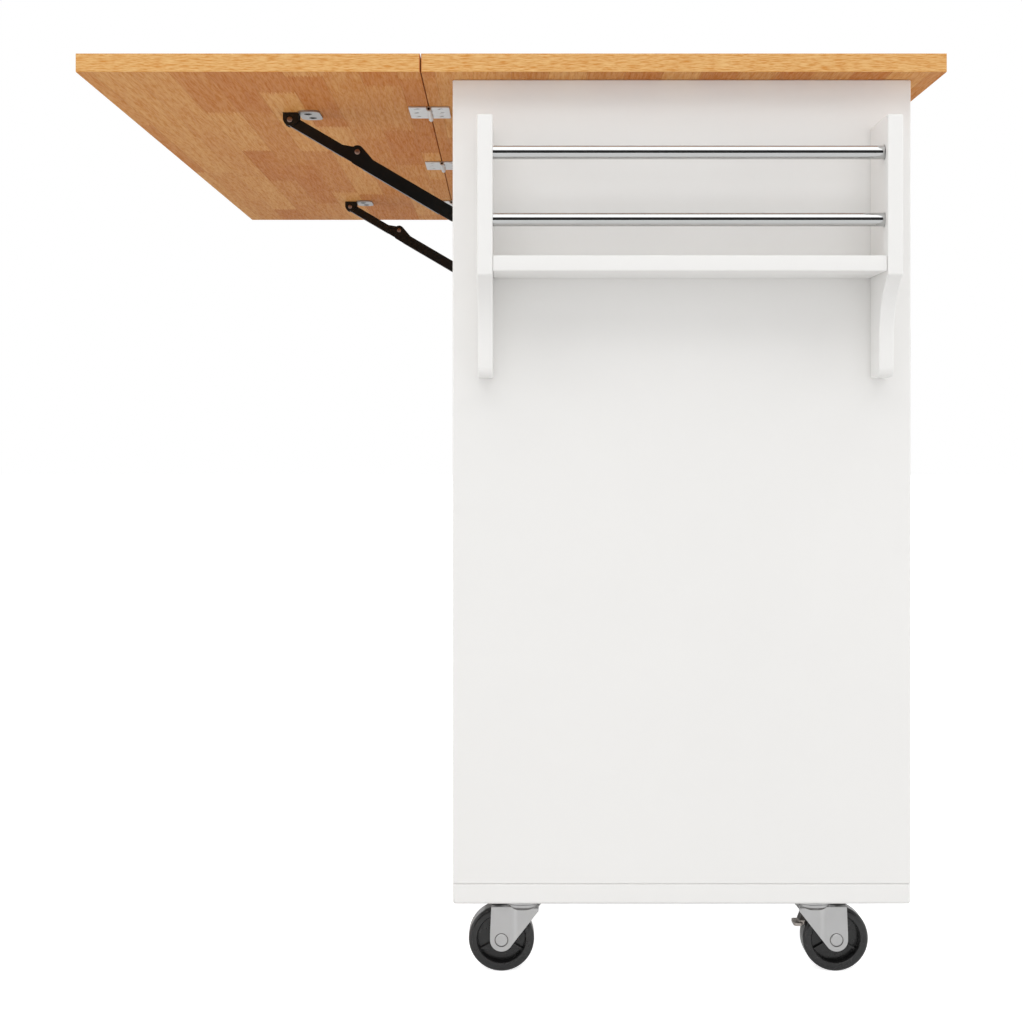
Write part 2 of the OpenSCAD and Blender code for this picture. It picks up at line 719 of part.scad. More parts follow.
// Zinc plate that spreads the support's load on the leaf
module strut_leaf_plates() {
  plate_thick = 2;
  color(ZINC) for (y = [near_strut_y, far_strut_y])
    translate([leaf_pivot.x + clevis_ahead, y - 6.4, underside_z - plate_thick]) difference() {
      linear_extrude(plate_thick) round_rect(leaf_plate_w, leaf_plate_l, 9);
      for (spot = [[0.42, 0.3], [0.55, 0.75]])
        translate([spot[0] * leaf_plate_w, spot[1] * leaf_plate_l, -cut])
          cylinder(h = plate_thick + 2 * cut, r = screw_r);
    }
}

// ---- Spice rack ----

// Side outline of a rack board in Y and Z: square above, hollowed to a narrow foot below
module rack_board_outline() {
  square_z0 = rack_z1 - rack_square_h;
  foot_y0 = cabinet_y0 - rack_foot_depth;
  difference() {
    translate([rack_y0, rack_z0]) square([rack_depth, rack_height]);
    difference() {
      translate([rack_y0 - cut, rack_z0 - cut])
        square([curve_step + cut, square_z0 - rack_z0 + cut]);
      translate([foot_y0 - curve_step - cut, square_z0]) square([curve_step + cut, cut]);
      difference() {
        translate([rack_y0 - cut, square_z0 - rack_curve_h])
          square([curve_step + 2 * cut, rack_curve_h + cut]);
        translate([foot_y0 - curve_r, square_z0 - rack_curve_h]) circle(curve_r, $fn = 128);
      }
    }
    translate([foot_y0 - cut, rack_z0 - cut]) difference() {
      square([rack_toe_r + cut, rack_toe_r + cut]);
      translate([rack_toe_r + cut, rack_toe_r + cut]) circle(rack_toe_r);
    }
  }
}

module rack_board_at(x0) {
  color(WHITE) difference() {
    side_sheet(x0, rack_board) rack_board_outline();
    rack_rail_bars(rail_r + running);
  }
}

module rack_rail_bars(r) {
  for (drop = rail_drops)
    x_bar(rack_x0 + rack_board - rail_bite, rack_x1 - rack_board + rail_bite,
          rack_y0 + rail_setback, rack_z1 - drop, r);
}

module rack_rear_board() { rack_board_at(rack_x0); }
module rack_front_board() { rack_board_at(rack_x1 - rack_board); }

module rack_shelf() {
  color(WHITE)
    slab([rack_x0 + rack_board, rack_y0 + rack_shelf_setback,
          rack_z1 - rack_shelf_drop - rack_shelf_thick],
         [rack_x1 - rack_board, cabinet_y0, rack_z1 - rack_shelf_drop]);
}

module rack_rails() { color(CHROME) rack_rail_bars(rail_r); }

// ---- Drawers ----

module sunk_front(y0, y1, z0, z1, frame) {
  difference() {
    slab([front_back_x, y0, z0], [cabinet_x1, y1, z1]);
    slab([cabinet_x1 - frame_sink, y0 + frame, z0 + frame],
         [cabinet_x1 + cut, y1 - frame, z1 - frame]);
  }
}

module drawer_front(bay) {
  color(WHITE)
    sunk_front(bay[0] + front_gap, bay[1] - front_gap, drawer_front_z0, drawer_front_z1,
               drawer_frame_w);
}

module drawer_box(bay) {
  y0 = bay[0] + slide_space;
  y1 = bay[1] - slide_space;
  x0 = front_back_x - drawer_depth;
  color(PLY) difference() {
    slab([x0, y0, drawer_box_z0], [front_back_x, y1, drawer_box_z0 + drawer_box_h]);
    slab([x0 + drawer_wall, y0 + drawer_wall, drawer_box_z0 + drawer_floor],
         [front_back_x - drawer_wall, y1 - drawer_wall, drawer_box_z0 + drawer_box_h + cut]);
  }
}

// Channel of a drawer slide along X, its web on the plane y and its lips towards side
module slide_channel(y, side, h, depth) {
  x1 = front_back_x - seat;
  translate([x1 - slide_length, y, slide_z - h / 2]) mirror([0, side < 0 ? 1 : 0, 0]) {
    cube([slide_length, slide_sheet, h]);
    for (z = [0, h - slide_sheet]) translate([0, 0, z]) cube([slide_length, depth, slide_sheet]);
  }
}

module drawer_runners() {
  depth = slide_space - slide_sheet - 1.2;
  color(ZINC) for (bay = BAYS) {
    slide_channel(bay[0], 1, slide_h, depth);
    slide_channel(bay[1], -1, slide_h, depth);
  }
}

module drawer_slides(bay) {
  h = slide_h - 2 * slide_sheet - 2 * seat;
  depth = slide_space - slide_sheet - 1.2;
  color(ZINC) {
    slide_channel(bay[0] + slide_space, -1, h, depth);
    slide_channel(bay[1] - slide_space, 1, h, depth);
  }
}

// Turned knob standing along X from the plane x
module knob(x, y, z) {
  color(NICKEL) translate([x, y, z]) rotate([0, 90, 0]) rotate_extrude()
    polygon([[0, 0], [0.55 * knob_r, 0], [0.5 * knob_r, 0.12 * knob_reach],
             [0.36 * knob_r, 0.25 * knob_reach], [0.36 * knob_r, 0.45 * knob_reach],
             [0.75 * knob_r, 0.56 * knob_reach], [0.97 * knob_r, 0.7 * knob_reach],
             [knob_r, 0.8 * knob_reach], [0.9 * knob_r, 0.92 * knob_reach],
             [0.6 * knob_r, 0.98 * knob_reach], [0, knob_reach]]);
}

module drawer_knob(bay) {
  knob(cabinet_x1 - frame_sink, (bay[0] + bay[1]) / 2, (drawer_front_z0 + drawer_front_z1) / 2);
}

module near_drawer_front() { drawer_front(NEAR_BAY); }
module far_drawer_front() { drawer_front(FAR_BAY); }
module near_drawer_box() { drawer_box(NEAR_BAY); }
module far_drawer_box() { drawer_box(FAR_BAY); }
module near_drawer_slides() { drawer_slides(NEAR_BAY); }
module far_drawer_slides() { drawer_slides(FAR_BAY); }
module near_drawer_knob() { drawer_knob(NEAR_BAY); }
module far_drawer_knob() { drawer_knob(FAR_BAY); }

// ---- Doors ----
// side is 1 for the near door, hinged on the near end panel, and -1 for the far door

function hinge_face(side) = side > 0 ? inner_y0 : inner_y1;
function door_pin(side) = [cabinet_x1 + door_pin_out, hinge_face(side) + side * hinge_edge_gap / 2];
function door_hinge_zs() = [door_z0 + door_hinge_end, door_z1 - door_hinge_end - door_hinge_h];

// Room for the hinges' knuckles in the corner of a panel or of a door
module door_hinge_relief(side) {
  for (z = door_hinge_zs())
    translate([door_pin(side).x, door_pin(side).y, z - seat])
      cylinder(h = door_hinge_h + 2 * seat, r = door_knuckle_r + seat);
}

// Flat framed door, from its hinged edge to its free edge by the divider
module door(side) {
  free_y = side > 0 ? divider_y0 - front_gap : divider_y1 + front_gap;
  edge_y = hinge_face(side) + side * hinge_edge_gap;
  color(WHITE) difference() {
    sunk_front(min(edge_y, free_y), max(edge_y, free_y), door_z0, door_z1, frame_w);
    door_hinge_relief(side);
  }
}

// One half of a door's hinges: own lists the knuckles, counted from the bottom of three,
// and inwards is 1 for the half on the door and -1 for the half on the end panel
module door_hinge_half(side, own, inwards) {
  pitch = door_hinge_h / 3;
  pin = door_pin(side);
  plate_l = front_thick;
  face = side * inwards * hinge_edge_gap / 2;
  for (z = door_hinge_zs()) difference() {
    union() {
      for (i = own) {
        z0 = z + i * pitch + (i == 0 ? 0 : knuckle_gap / 2);
        z1 = z + (i + 1) * pitch - (i == 2 ? 0 : knuckle_gap / 2);
        translate([pin.x, pin.y, z0]) cylinder(h = z1 - z0, r = door_knuckle_r);
        door_hinge_plate(pin, face, z0, z1, pin.x - cabinet_x1);
      }
      door_hinge_plate(pin, face, z, z + door_hinge_h, pin.x - cabinet_x1 + 3);
    }
    translate([pin.x, pin.y, z - cut])
      cylinder(h = door_hinge_h + 2 * cut, r = door_pin_r + running);
  }
}

// Flat of a door hinge's plate, lying against the face at the offset face from the pin
module door_hinge_plate(pin, face, z0, z1, start) {
  inner = face - sign(face) * door_plate_thick;
  slab([pin.x - front_thick, pin.y + min(face, inner), z0],
       [pin.x - start, pin.y + max(face, inner), z1]);
}

module door_hinge_frame_leaves() {
  color(NICKEL) for (side = [1, -1]) {
    door_hinge_half(side, [0, 2], -1);
    for (z = door_hinge_zs())
      translate([door_pin(side).x, door_pin(side).y, z]) cylinder(h = door_hinge_h, r = door_pin_r);
  }
}

module door_hinge_leaves(side) {
  color(NICKEL) door_hinge_half(side, [1], 1);
}

module door_knob(side) {
  free_y = side > 0 ? divider_y0 - front_gap : divider_y1 + front_gap;
  knob(cabinet_x1, free_y - side * knob_inset, door_z1 - knob_drop);
}

module near_door() { door(1); }
module far_door() { door(-1); }
module near_door_hinge_leaves() { door_hinge_leaves(1); }
module far_door_hinge_leaves() { door_hinge_leaves(-1); }
module near_door_knob() { door_knob(1); }
module far_door_knob() { door_knob(-1); }

// ---- Casters ----

// Each caster's place: the rear ones trail to the rear and the front ones to the front
module near_rear() { translate([rear_swivel_x, near_caster_y, 0]) children(); }
module far_rear() { translate([rear_swivel_x, far_caster_y, 0]) children(); }
module near_front() { translate([front_swivel_x, near_caster_y, 0]) rotate([0, 0, 180]) children(); }
module far_front() { translate([front_swivel_x, far_caster_y, 0]) rotate([0, 0, 180]) children(); }

// Side outline of a fork in X and Z
module fork_side() {
  foot = tangent_point(leg_corner, axle_at, leg_end_r);
  polygon([[-trail - leg_back, crown_z1], [leg_front, crown_z1], leg_corner, foot, axle_at,
           axle_at - [leg_end_r, 0], [-trail - leg_end_r, wheel_r + 6]]);
  translate(axle_at) circle(leg_end_r);
}

// Cross-section of a fork in Y and Z, bent round the wheel
module fork_section() {
  low = wheel_r - leg_end_r - cut;
  difference() {
    bent_top(fork_outer, low, crown_z1, fork_bend_r);
    bent_top(fork_inner, low - cut, crown_z0, fork_bend_r - fork_sheet);
  }
}

module bent_top(half, z0, z1, r) {
  translate([-half, z0]) square([2 * half, z1 - z0 - r]);
  translate([-half + r, z1 - r - cut]) square([2 * (half - r), r + cut]);
  for (y = [-half + r, half - r]) translate([y, z1 - r]) circle(r);
}

// Cup pressed round the swivel, which hangs past the legs' outer faces
module bearing_cup() {
  rotate_extrude()
    polygon([[king_pin_r, crown_z0], [fork_outer - 3, crown_z0],
             [fork_outer - 0.6, crown_z1 - cup_h + 0.8], [fork_outer + 1, crown_z1 - cup_h],
             [cup_r - 2, crown_z1 - 0.75 * cup_h], [cup_r - 0.7, crown_z1 - 0.45 * cup_h],
             [cup_r, crown_z1 - 0.1 * cup_h], [cup_r, crown_z1], [king_pin_r, crown_z1]]);
}

// Step across both legs, which carries their axle halves outwards from the plane half
module leg_steps(half, top) {
  far_x = -trail - leg_end_r - cut;
  linear_extrude(top) for (turn = [0, 1]) mirror([0, turn, 0])
    polygon([[far_x, half - cut], [leg_step_x[1], half - cut], [leg_step_x[1], half],
             [leg_step_x[0], half + leg_step], [far_x, half + leg_step]]);
}

// Fork with its bearing cup; a braked one has blind bores for its pedal's pin
module caster_fork(braked = false) {
  color(ZINC) difference() {
    union() {
      intersection() {
        sheet(-axle_half, 2 * axle_half) fork_side();
        union() {
          side_sheet(-trail - leg_end_r - cut, trail + leg_end_r + leg_front + 2 * cut)
            fork_section();
          leg_steps(fork_outer, leg_step_z);
        }
      }
      bearing_cup();
    }
    leg_steps(fork_inner, leg_step_z - fork_sheet);
    y_bar(axle_at, -fork_inner, fork_inner, wheel_r + wheel_clearance);
    y_bar(axle_at, -cup_r - cut, cup_r + cut, axle_r);
    for (y = [-axle_half - cut, axle_half - axle_cap_sunk])
      y_bar(axle_at, y, y + axle_cap_sunk + cut, axle_cap_r + axle_cap_ring);
    if (braked) {
      bored = fork_inner + pedal_pin_bite + 0.1;
      y_bar(pedal_pivot, -bored, bored, pedal_pin_r);
    }
    translate([0, 0, wheel_r]) cylinder(h = wheel_r * 2, r = king_pin_r + running);
  }
}

// Riveted axle with a flat cap in the counterbore of each leg
module caster_axle() {
  seat_y = axle_half - axle_cap_sunk;
  color(ZINC) translate([axle_at.x, 0, axle_at.y]) rotate([90, 0, 0]) rotate_extrude()
    polygon([[0, -seat_y - axle_cap_h], [axle_cap_r - 0.8, -seat_y - axle_cap_h],
             [axle_cap_r, -seat_y - axle_cap_h + 0.5], [axle_cap_r, -seat_y], [axle_r, -seat_y],
             [axle_r, seat_y], [axle_cap_r, seat_y], [axle_cap_r, seat_y + axle_cap_h - 0.5],
             [axle_cap_r - 0.8, seat_y + axle_cap_h], [0, seat_y + axle_cap_h]]);
}

// Moulded wheel: round tread, hollow sides with ribs and a boss round the bore
module caster_wheel() {
  half = wheel_w / 2;
  shoulder = 4.5;
  tread = [for (a = [0 : 15 : 90]) [wheel_r - shoulder, half - shoulder] + shoulder * heading(90 - a)];
  face = concat([[boss_r, boss_half], [boss_r, half - hub_sink], [rim_r - 0.8, half - hub_sink],
                 [rim_r, half - 0.8], [rim_r + 0.8, half]], tread);
  back = [for (i = [len(face) - 1 : -1 : 0]) [face[i].x, -face[i].y]];
  color(WHEEL_BLACK) translate([axle_at.x, 0, axle_at.y]) rotate([90, 0, 0]) difference() {
    union() {
      rotate_extrude($fn = 96)
        polygon(concat([[0, -boss_half], [0, boss_half]], face, back));
      for (k = [0 : rib_count - 1]) rotate(90 + k * 360 / rib_count)
        translate([boss_r - 1, -rib_thick / 2, -half + rib_sink])
          cube([rim_r - boss_r + 1.5, rib_thick, wheel_w - 2 * rib_sink]);
    }
    cylinder(h = 4 * half, r = axle_r + running, center = true);
  }
}

// Pedal: a flat tab on an arm that presses on the tread; its pin turns in the fork's legs
module brake_pedal() {
  arm_end = pedal_pivot + [5.2, -12.6];
  pin_half = fork_inner + pedal_pin_bite;
  color(BRAKE_GREY) union() {
    sheet(-brake_arm_w / 2, brake_arm_w) capsule(pedal_pivot, arm_end, 2.8, 2.6);
    translate([arm_end.x - 1.6, -pedal_w / 2, arm_end.y - 2.2])
      linear_extrude(2.8) round_rect(9, pedal_w, 3);
    y_bar(pedal_pivot, -pin_half, pin_half, pedal_pin_r - running);
  }
}

// Plates of all the casters, each with its upper race and its riveted king pin
module caster_plates() {
  color(ZINC) for (x = [rear_swivel_x, front_swivel_x], y = [near_caster_y, far_caster_y])
    translate([x, y, 0]) {
      difference() {
        translate([-caster_plate_l / 2, -caster_plate_w / 2, caster_plate_z0])
          linear_extrude(caster_plate_thick) round_rect(caster_plate_l, caster_plate_w, 5);
        for (dx = [-1, 1], dy = [-1, 1])
          translate([dx * (caster_plate_l / 2 - 7), dy * (caster_plate_w / 2 - 7),
                     caster_plate_z0 - cut])
            cylinder(h = caster_plate_thick + 2 * cut, r = 2.6);
      }
      rotate_extrude()
        polygon([[0, crown_z0 - seat - king_head_h], [king_pin_r + 1.5, crown_z0 - seat - king_head_h],
                 [king_pin_r + 2, crown_z0 - seat], [king_pin_r, crown_z0 - seat],
                 [king_pin_r, crown_z1 + race_gap], [cup_r, crown_z1 + race_gap],
                 [cup_r, crown_z1 + race_gap + 1.2], [cup_r - 2, caster_plate_z0 + 0.2],
                 [0, caster_plate_z0 + 0.2]]);
    }
}

base_board();
near_end_panel();
far_end_panel();
back_panel();
centre_divider();
front_rails();
cupboard_shelves();
shelf_pins();
door_catches();
drawer_runners();
door_hinge_frame_leaves();
worktop();
leaf_hinge_fixed_leaves();
leaf_hinge_pins();
strut_wall_brackets();
rack_rear_board();
rack_front_board();
rack_shelf();
rack_rails();
caster_plates();
drop_leaf_board();
leaf_hinge_swing_leaves();
strut_leaf_plates();
strut_leaf_clevises();
strut_leaf_rivets();
near_lower_link();
near_elbow_rivet();
near_upper_link();
far_lower_link();
far_elbow_rivet();
far_upper_link();
near_drawer_front();
near_drawer_box();
near_drawer_slides();
near_drawer_knob();
far_drawer_front();
far_drawer_box();
far_drawer_slides();
far_drawer_knob();
near_door();
near_door_hinge_leaves();
near_door_knob();
far_door();
far_door_hinge_leaves();
far_door_knob();
near_rear() caster_fork();  // near_rear_fork
near_rear() caster_axle();  // near_rear_axle
near_rear() caster_wheel();  // near_rear_wheel
near_front() caster_fork(true);  // near_front_fork
near_front() caster_axle();  // near_front_axle
near_front() caster_wheel();  // near_front_wheel
near_front() brake_pedal();  // near_front_brake
far_rear() caster_fork();  // far_rear_fork
far_rear() caster_axle();  // far_rear_axle
far_rear() caster_wheel();  // far_rear_wheel
far_front() caster_fork(true);  // far_front_fork
far_front() caster_axle();  // far_front_axle
far_front() caster_wheel();  // far_front_wheel
far_front() brake_pedal();  // far_front_brake
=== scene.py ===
"""Looks of a drop leaf kitchen island on casters.

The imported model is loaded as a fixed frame. Each sub-assembly class dresses its own pieces: it gives
the carried-over pieces their finishes and adds what the frame leaves out, such as screws and softened
board edges. Lengths are metres, X runs to the doors, Y away from the spice rack and Z up.
"""

from __future__ import annotations

import json
import logging
import math
from collections.abc import Callable
from dataclasses import dataclass, field
from enum import Enum

import bpy
import numpy as np
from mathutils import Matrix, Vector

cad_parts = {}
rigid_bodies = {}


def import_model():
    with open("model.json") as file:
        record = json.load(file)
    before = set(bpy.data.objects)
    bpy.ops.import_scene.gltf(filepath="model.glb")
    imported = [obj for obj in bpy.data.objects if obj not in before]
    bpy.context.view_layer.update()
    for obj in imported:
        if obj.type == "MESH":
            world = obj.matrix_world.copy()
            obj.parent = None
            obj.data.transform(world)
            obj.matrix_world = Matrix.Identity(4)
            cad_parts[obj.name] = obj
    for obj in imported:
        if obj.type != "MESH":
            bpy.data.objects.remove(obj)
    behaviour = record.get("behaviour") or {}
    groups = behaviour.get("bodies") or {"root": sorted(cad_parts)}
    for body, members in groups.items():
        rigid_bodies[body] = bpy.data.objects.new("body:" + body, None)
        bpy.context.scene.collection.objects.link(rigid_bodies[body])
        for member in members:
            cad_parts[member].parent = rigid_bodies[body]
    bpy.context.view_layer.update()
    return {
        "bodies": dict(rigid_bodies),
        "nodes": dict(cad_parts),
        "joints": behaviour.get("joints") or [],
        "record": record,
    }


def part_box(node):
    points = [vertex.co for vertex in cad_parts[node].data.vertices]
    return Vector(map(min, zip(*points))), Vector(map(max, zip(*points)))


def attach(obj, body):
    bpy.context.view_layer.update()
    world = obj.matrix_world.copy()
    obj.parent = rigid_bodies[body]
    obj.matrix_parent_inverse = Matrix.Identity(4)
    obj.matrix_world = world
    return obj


LOG = logging.getLogger("kitchen_island")
MM = 0.001
GOLDEN_ANGLE = math.pi * (3 - math.sqrt(5))
DOWN = (0.0, 0.0, -1.0)
FLOAT, VECTOR = "NodeSocketFloat", "NodeSocketVector"

Socket = bpy.types.NodeSocket
Sockets = dict[str, Socket]
Term = float | tuple | Socket
Span = tuple[float, float]
Triple = tuple[float, float, float]
Colour = Triple
Place = Triple
Grid = tuple[np.ndarray, list[np.ndarray]]


def linear(red: int, green: int, blue: int) -> Colour:
    """Turns an 8-bit display colour into the linear values that shaders use.

    Formula: a share up to 0.04045 is divided by 12.92, and above that 0.055 is added, the sum is
    divided by 1.055 and raised to the power 2.4.

    Args:
        red: Red from 0 to 255.
        green: Green from 0 to 255.
        blue: Blue from 0 to 255.

    Returns:
        The three linear values.
    """
    share = np.array([red, green, blue]) / 255.0
    value = np.where(share <= 0.04045, share / 12.92, ((share + 0.055) / 1.055) ** 2.4)
    return tuple(float(v) for v in value)


# ---- node trees


class Graph:
    """A shader node tree under construction."""

    def __init__(self, tree: bpy.types.NodeTree) -> None:
        """Keeps the tree that the nodes go into."""
        self.tree = tree

    def put(self, socket: Socket, value: Term) -> None:
        """Links a socket to another, or sets its value.

        Args:
            socket: The input to fill.
            value: An output socket, a number, or a tuple of numbers.
        """
        if isinstance(value, Socket):
            self.tree.links.new(value, socket)
        elif isinstance(value, tuple) and len(value) == 3 and socket.type == "RGBA":
            socket.default_value = (*value, 1.0)
        else:
            socket.default_value = value

    def node(self, kind: str, inputs: dict[str | int, Term] | None = None, **settings) -> bpy.types.Node:
        """Adds a node.

        Args:
            kind: The node's type without its ShaderNode prefix.
            inputs: Values or sockets by the input's name or index.
            **settings: Properties of the node, such as operation.

        Returns:
            The new node.
        """
        made = self.tree.nodes.new("ShaderNode" + kind)
        for name, value in settings.items():
            setattr(made, name, value)
        for key, value in (inputs or {}).items():
            self.put(made.inputs[key], value)
        return made

    def math(self, operation: str, *terms: Term) -> Socket:
        """Adds a Math node on one to three terms and returns its output."""
        return self.node("Math", dict(enumerate(terms)), operation=operation).outputs[0]

    def combine(self, x: Term, y: Term, z: Term = 0.0) -> Socket:
        """Joins three numbers into a vector."""
        return self.node("CombineXYZ", {0: x, 1: y, 2: z}).outputs[0]

    def split(self, vector: Socket) -> tuple[Socket, Socket, Socket]:
        """Splits a vector into its three numbers."""
        return tuple(self.node("SeparateXYZ", {0: vector}).outputs)

    def remap(self, value: Term, low: float, high: float, start: float = 0.0, end: float = 1.0) -> Socket:
        """Maps a span of values to another one with a smooth step.

        Args:
            value: The value to map.
            low: Where the span begins.
            high: Where the span ends.
            start: What low becomes.
            end: What high becomes.

        Returns:
            The mapped value.
        """
        inputs = {"Value": value, "From Min": low, "From Max": high, "To Min": start, "To Max": end}
        return self.node("MapRange", inputs, interpolation_type="SMOOTHSTEP").outputs[0]

    def mix(self, share: Term, first: Term, second: Term) -> Socket:
        """Mixes two colours.

        Args:
            share: 0 for the first colour and 1 for the second.
            first: The first colour.
            second: The second colour.

        Returns:
            The mixed colour.
        """
        made = self.node("Mix", data_type="RGBA")
        for socket, value in zip((made.inputs[0], made.inputs[6], made.inputs[7]), (share, first, second)):
            self.put(socket, value)
        return made.outputs[2]

    def multiply(self, colour: Term, factor: Term) -> Socket:
        """Multiplies two colours; a colour times a number is that number's grey."""
        return self.node("VectorMath", {0: colour, 1: factor}, operation="MULTIPLY").outputs[0]

    def noise(self, vector: Socket, scale: float, detail: float = 2.0, roughness: float = 0.5) -> Socket:
        """Adds a Noise texture and returns its value."""
        inputs = {"Vector": vector, "Scale": scale, "Detail": detail, "Roughness": roughness}
        return self.node("TexNoise", inputs).outputs[0]

    def group(self, group: NodeGroup, inputs: dict[str, Term]) -> Sockets:
        """Places a node group with its own values and returns its outputs by name."""
        return dict(self.node("Group", inputs, node_tree=group.tree()).outputs.items())


class MaterialGraph(Graph):
    """The node tree of a material with its shader."""

    def __init__(self, name: str) -> None:
        """Makes the material.

        Args:
            name: The material's name.
        """
        self.material = bpy.data.materials.new(name)
        self.material.use_nodes = True
        super().__init__(self.material.node_tree)

    def feed(self, name: str, value: Term) -> None:
        """Fills an input of the shader."""
        self.put(self.tree.nodes["Principled BSDF"].inputs[name], value)

    def coordinates(self) -> tuple[Socket, Socket]:
        """Adds the object coordinates and the normal along the same axes."""
        outputs = self.node("TexCoord").outputs
        return outputs["Object"], outputs["Normal"]


@dataclass(frozen=True)
class NodeGroup:
    """A shader node group, which is built once and placed in many materials."""

    name: str
    inputs: dict[str, str]
    outputs: dict[str, str]
    build: Callable[[Graph, Sockets], Sockets]

    def tree(self) -> bpy.types.NodeTree:
        """Builds the group on first use.

        Returns:
            The group's tree.
        """
        found = bpy.data.node_groups.get(self.name)
        if found:
            return found
        tree = bpy.data.node_groups.new(self.name, "ShaderNodeTree")
        for side, sockets in (("INPUT", self.inputs), ("OUTPUT", self.outputs)):
            for socket, kind in sockets.items():
                tree.interface.new_socket(name=socket, in_out=side, socket_type=kind)
        graph = Graph(tree)
        entry = tree.nodes.new("NodeGroupInput")
        leave = tree.nodes.new("NodeGroupOutput")
        for socket, source in self.build(graph, {s.name: s for s in entry.outputs if s.name}).items():
            graph.put(leave.inputs[socket], source)
        return tree


def build_staves(graph: Graph, given: Sockets) -> Sockets:
    """Lays a board out in finger-jointed staves.

    Formula: the column is the whole part of X over the stave width, and each column draws its own
    stave length and offset. A tooth of the finger joint shifts Y by the finger depth times a triangle
    wave of X. The row is the whole part of the shifted Y over that length, and column and row together
    draw the tone and the shift of the grain. The seam is 1 on the line between two columns.

    Args:
        graph: The group's tree.
        given: Its inputs by name.

    Returns:
        What feeds its outputs, by name.
    """
    shortest, spread = 0.7, 0.6
    farthest_offset = 9.0
    seam_from, seam_to = 0.488, 0.498
    x, y, _ = graph.split(given["Vector"])
    across = graph.math("DIVIDE", x, given["Width"])
    column = graph.math("FLOOR", across)
    own = graph.node("TexWhiteNoise", {"Vector": graph.combine(column, given["Seed"])})
    own_length, own_offset, _ = graph.split(own.outputs["Color"])
    share = graph.math("MULTIPLY_ADD", own_length, spread, shortest)
    length = graph.math("MULTIPLY", given["Length"], share)
    tooth = graph.math("PINGPONG", graph.math("DIVIDE", x, given["Finger Pitch"]), 0.5)
    depth = graph.math("MULTIPLY", given["Finger Depth"], 2.0)
    shifted = graph.math("MULTIPLY_ADD", tooth, depth, y)
    along = graph.math("MULTIPLY_ADD", own_offset, farthest_offset, graph.math("DIVIDE", shifted, length))
    row = graph.math("FLOOR", along)
    draw = graph.node("TexWhiteNoise", {"Vector": graph.combine(column, row, given["Seed"])})
    from_line = graph.math("ABSOLUTE", graph.math("SUBTRACT", graph.math("FRACT", across), 0.5))
    seam = graph.remap(from_line, seam_from, seam_to)
    return {"Tone": draw.outputs["Value"], "Shift": draw.outputs["Color"], "Seam": seam}


def build_grain(graph: Graph, given: Sockets) -> Sockets:
    """Draws the grain of sawn wood, which runs along Y of its vector.

    Formula: streaks are noise drawn out 16 times along the grain, and fibres are finer noise drawn out
    14 times and swayed sideways by slow noise. The figure is the sine of the distance from the stave's
    own slanting heart, which slow noise bends, so that it shows as long arches.

    Args:
        graph: The group's tree.
        given: Its inputs by name.

    Returns:
        What feeds its outputs, by name.
    """
    streak_spread, fibre_spread, sway_spread, bend_spread = 16.0, 14.0, 1.5, 4.0
    sway_reach, bend_reach, slant = 0.002, 0.016, 0.05
    ring_pitch = 900.0
    across_reach, along_reach = 3.0, 5.0
    streak_span, fibre_span = (0.3, 0.7), (0.36, 0.7)
    x, y, _ = graph.split(given["Vector"])
    shift_x, shift_y, shift_z = graph.split(given["Shift"])
    place_x = graph.math("MULTIPLY_ADD", shift_x, across_reach, x)
    place_y = graph.math("MULTIPLY_ADD", shift_y, along_reach, y)

    def drawn(times: float, from_x: Socket = place_x) -> Socket:
        """Place with its X spread, which draws a texture out along Y."""
        return graph.combine(graph.math("MULTIPLY", from_x, times), place_y, shift_z)

    streaks = graph.noise(drawn(streak_spread), scale=11.0, detail=3.0, roughness=0.65)
    sway = graph.noise(drawn(sway_spread), scale=18.0, detail=1.0)
    swayed = graph.math("MULTIPLY_ADD", sway, sway_reach, place_x)
    fibres = graph.noise(drawn(fibre_spread, swayed), scale=40.0, roughness=0.7)
    bend = graph.noise(drawn(bend_spread), scale=5.0, detail=1.0)
    lean = graph.math("MULTIPLY", graph.math("SUBTRACT", shift_z, 0.5), slant)
    bent = graph.math("MULTIPLY_ADD", bend, bend_reach, place_x)
    heart = graph.math("MULTIPLY_ADD", lean, place_y, bent)
    rings = graph.math("SINE", graph.math("MULTIPLY", heart, ring_pitch))
    return {
        "Streaks": graph.remap(streaks, *streak_span),
        "Fibres": graph.remap(fibres, *fibre_span),
        "Figure": graph.math("MULTIPLY_ADD", rings, 0.5, 0.5),
    }


def build_mottle(graph: Graph, given: Sockets) -> Sockets:
    """Adds slow, faint unevenness: 1 plus the contrast times noise about zero.

    Args:
        graph: The group's tree.
        given: Its inputs by name.

    Returns:
        What feeds its outputs, by name.
    """
    noise = graph.node("TexNoise", {"Vector": given["Vector"], "Scale": given["Scale"], "Detail": 3.0})
    centred = graph.math("SUBTRACT", noise.outputs[0], 0.5)
    return {"Factor": graph.math("MULTIPLY_ADD", centred, given["Contrast"], 1.0)}


def build_skin(graph: Graph, given: Sockets) -> Sockets:
    """Adds the fine skin of a coating, as a normal: a bump of noise at the given scale.

    Args:
        graph: The group's tree.
        given: Its inputs by name.

    Returns:
        What feeds its outputs, by name.
    """
    noise = graph.node("TexNoise", {"Vector": given["Vector"], "Scale": given["Scale"], "Detail": 2.0})
    shape = {"Strength": given["Strength"], "Distance": given["Depth"], "Height": noise.outputs[0]}
    return {"Normal": graph.node("Bump", shape).outputs[0]}


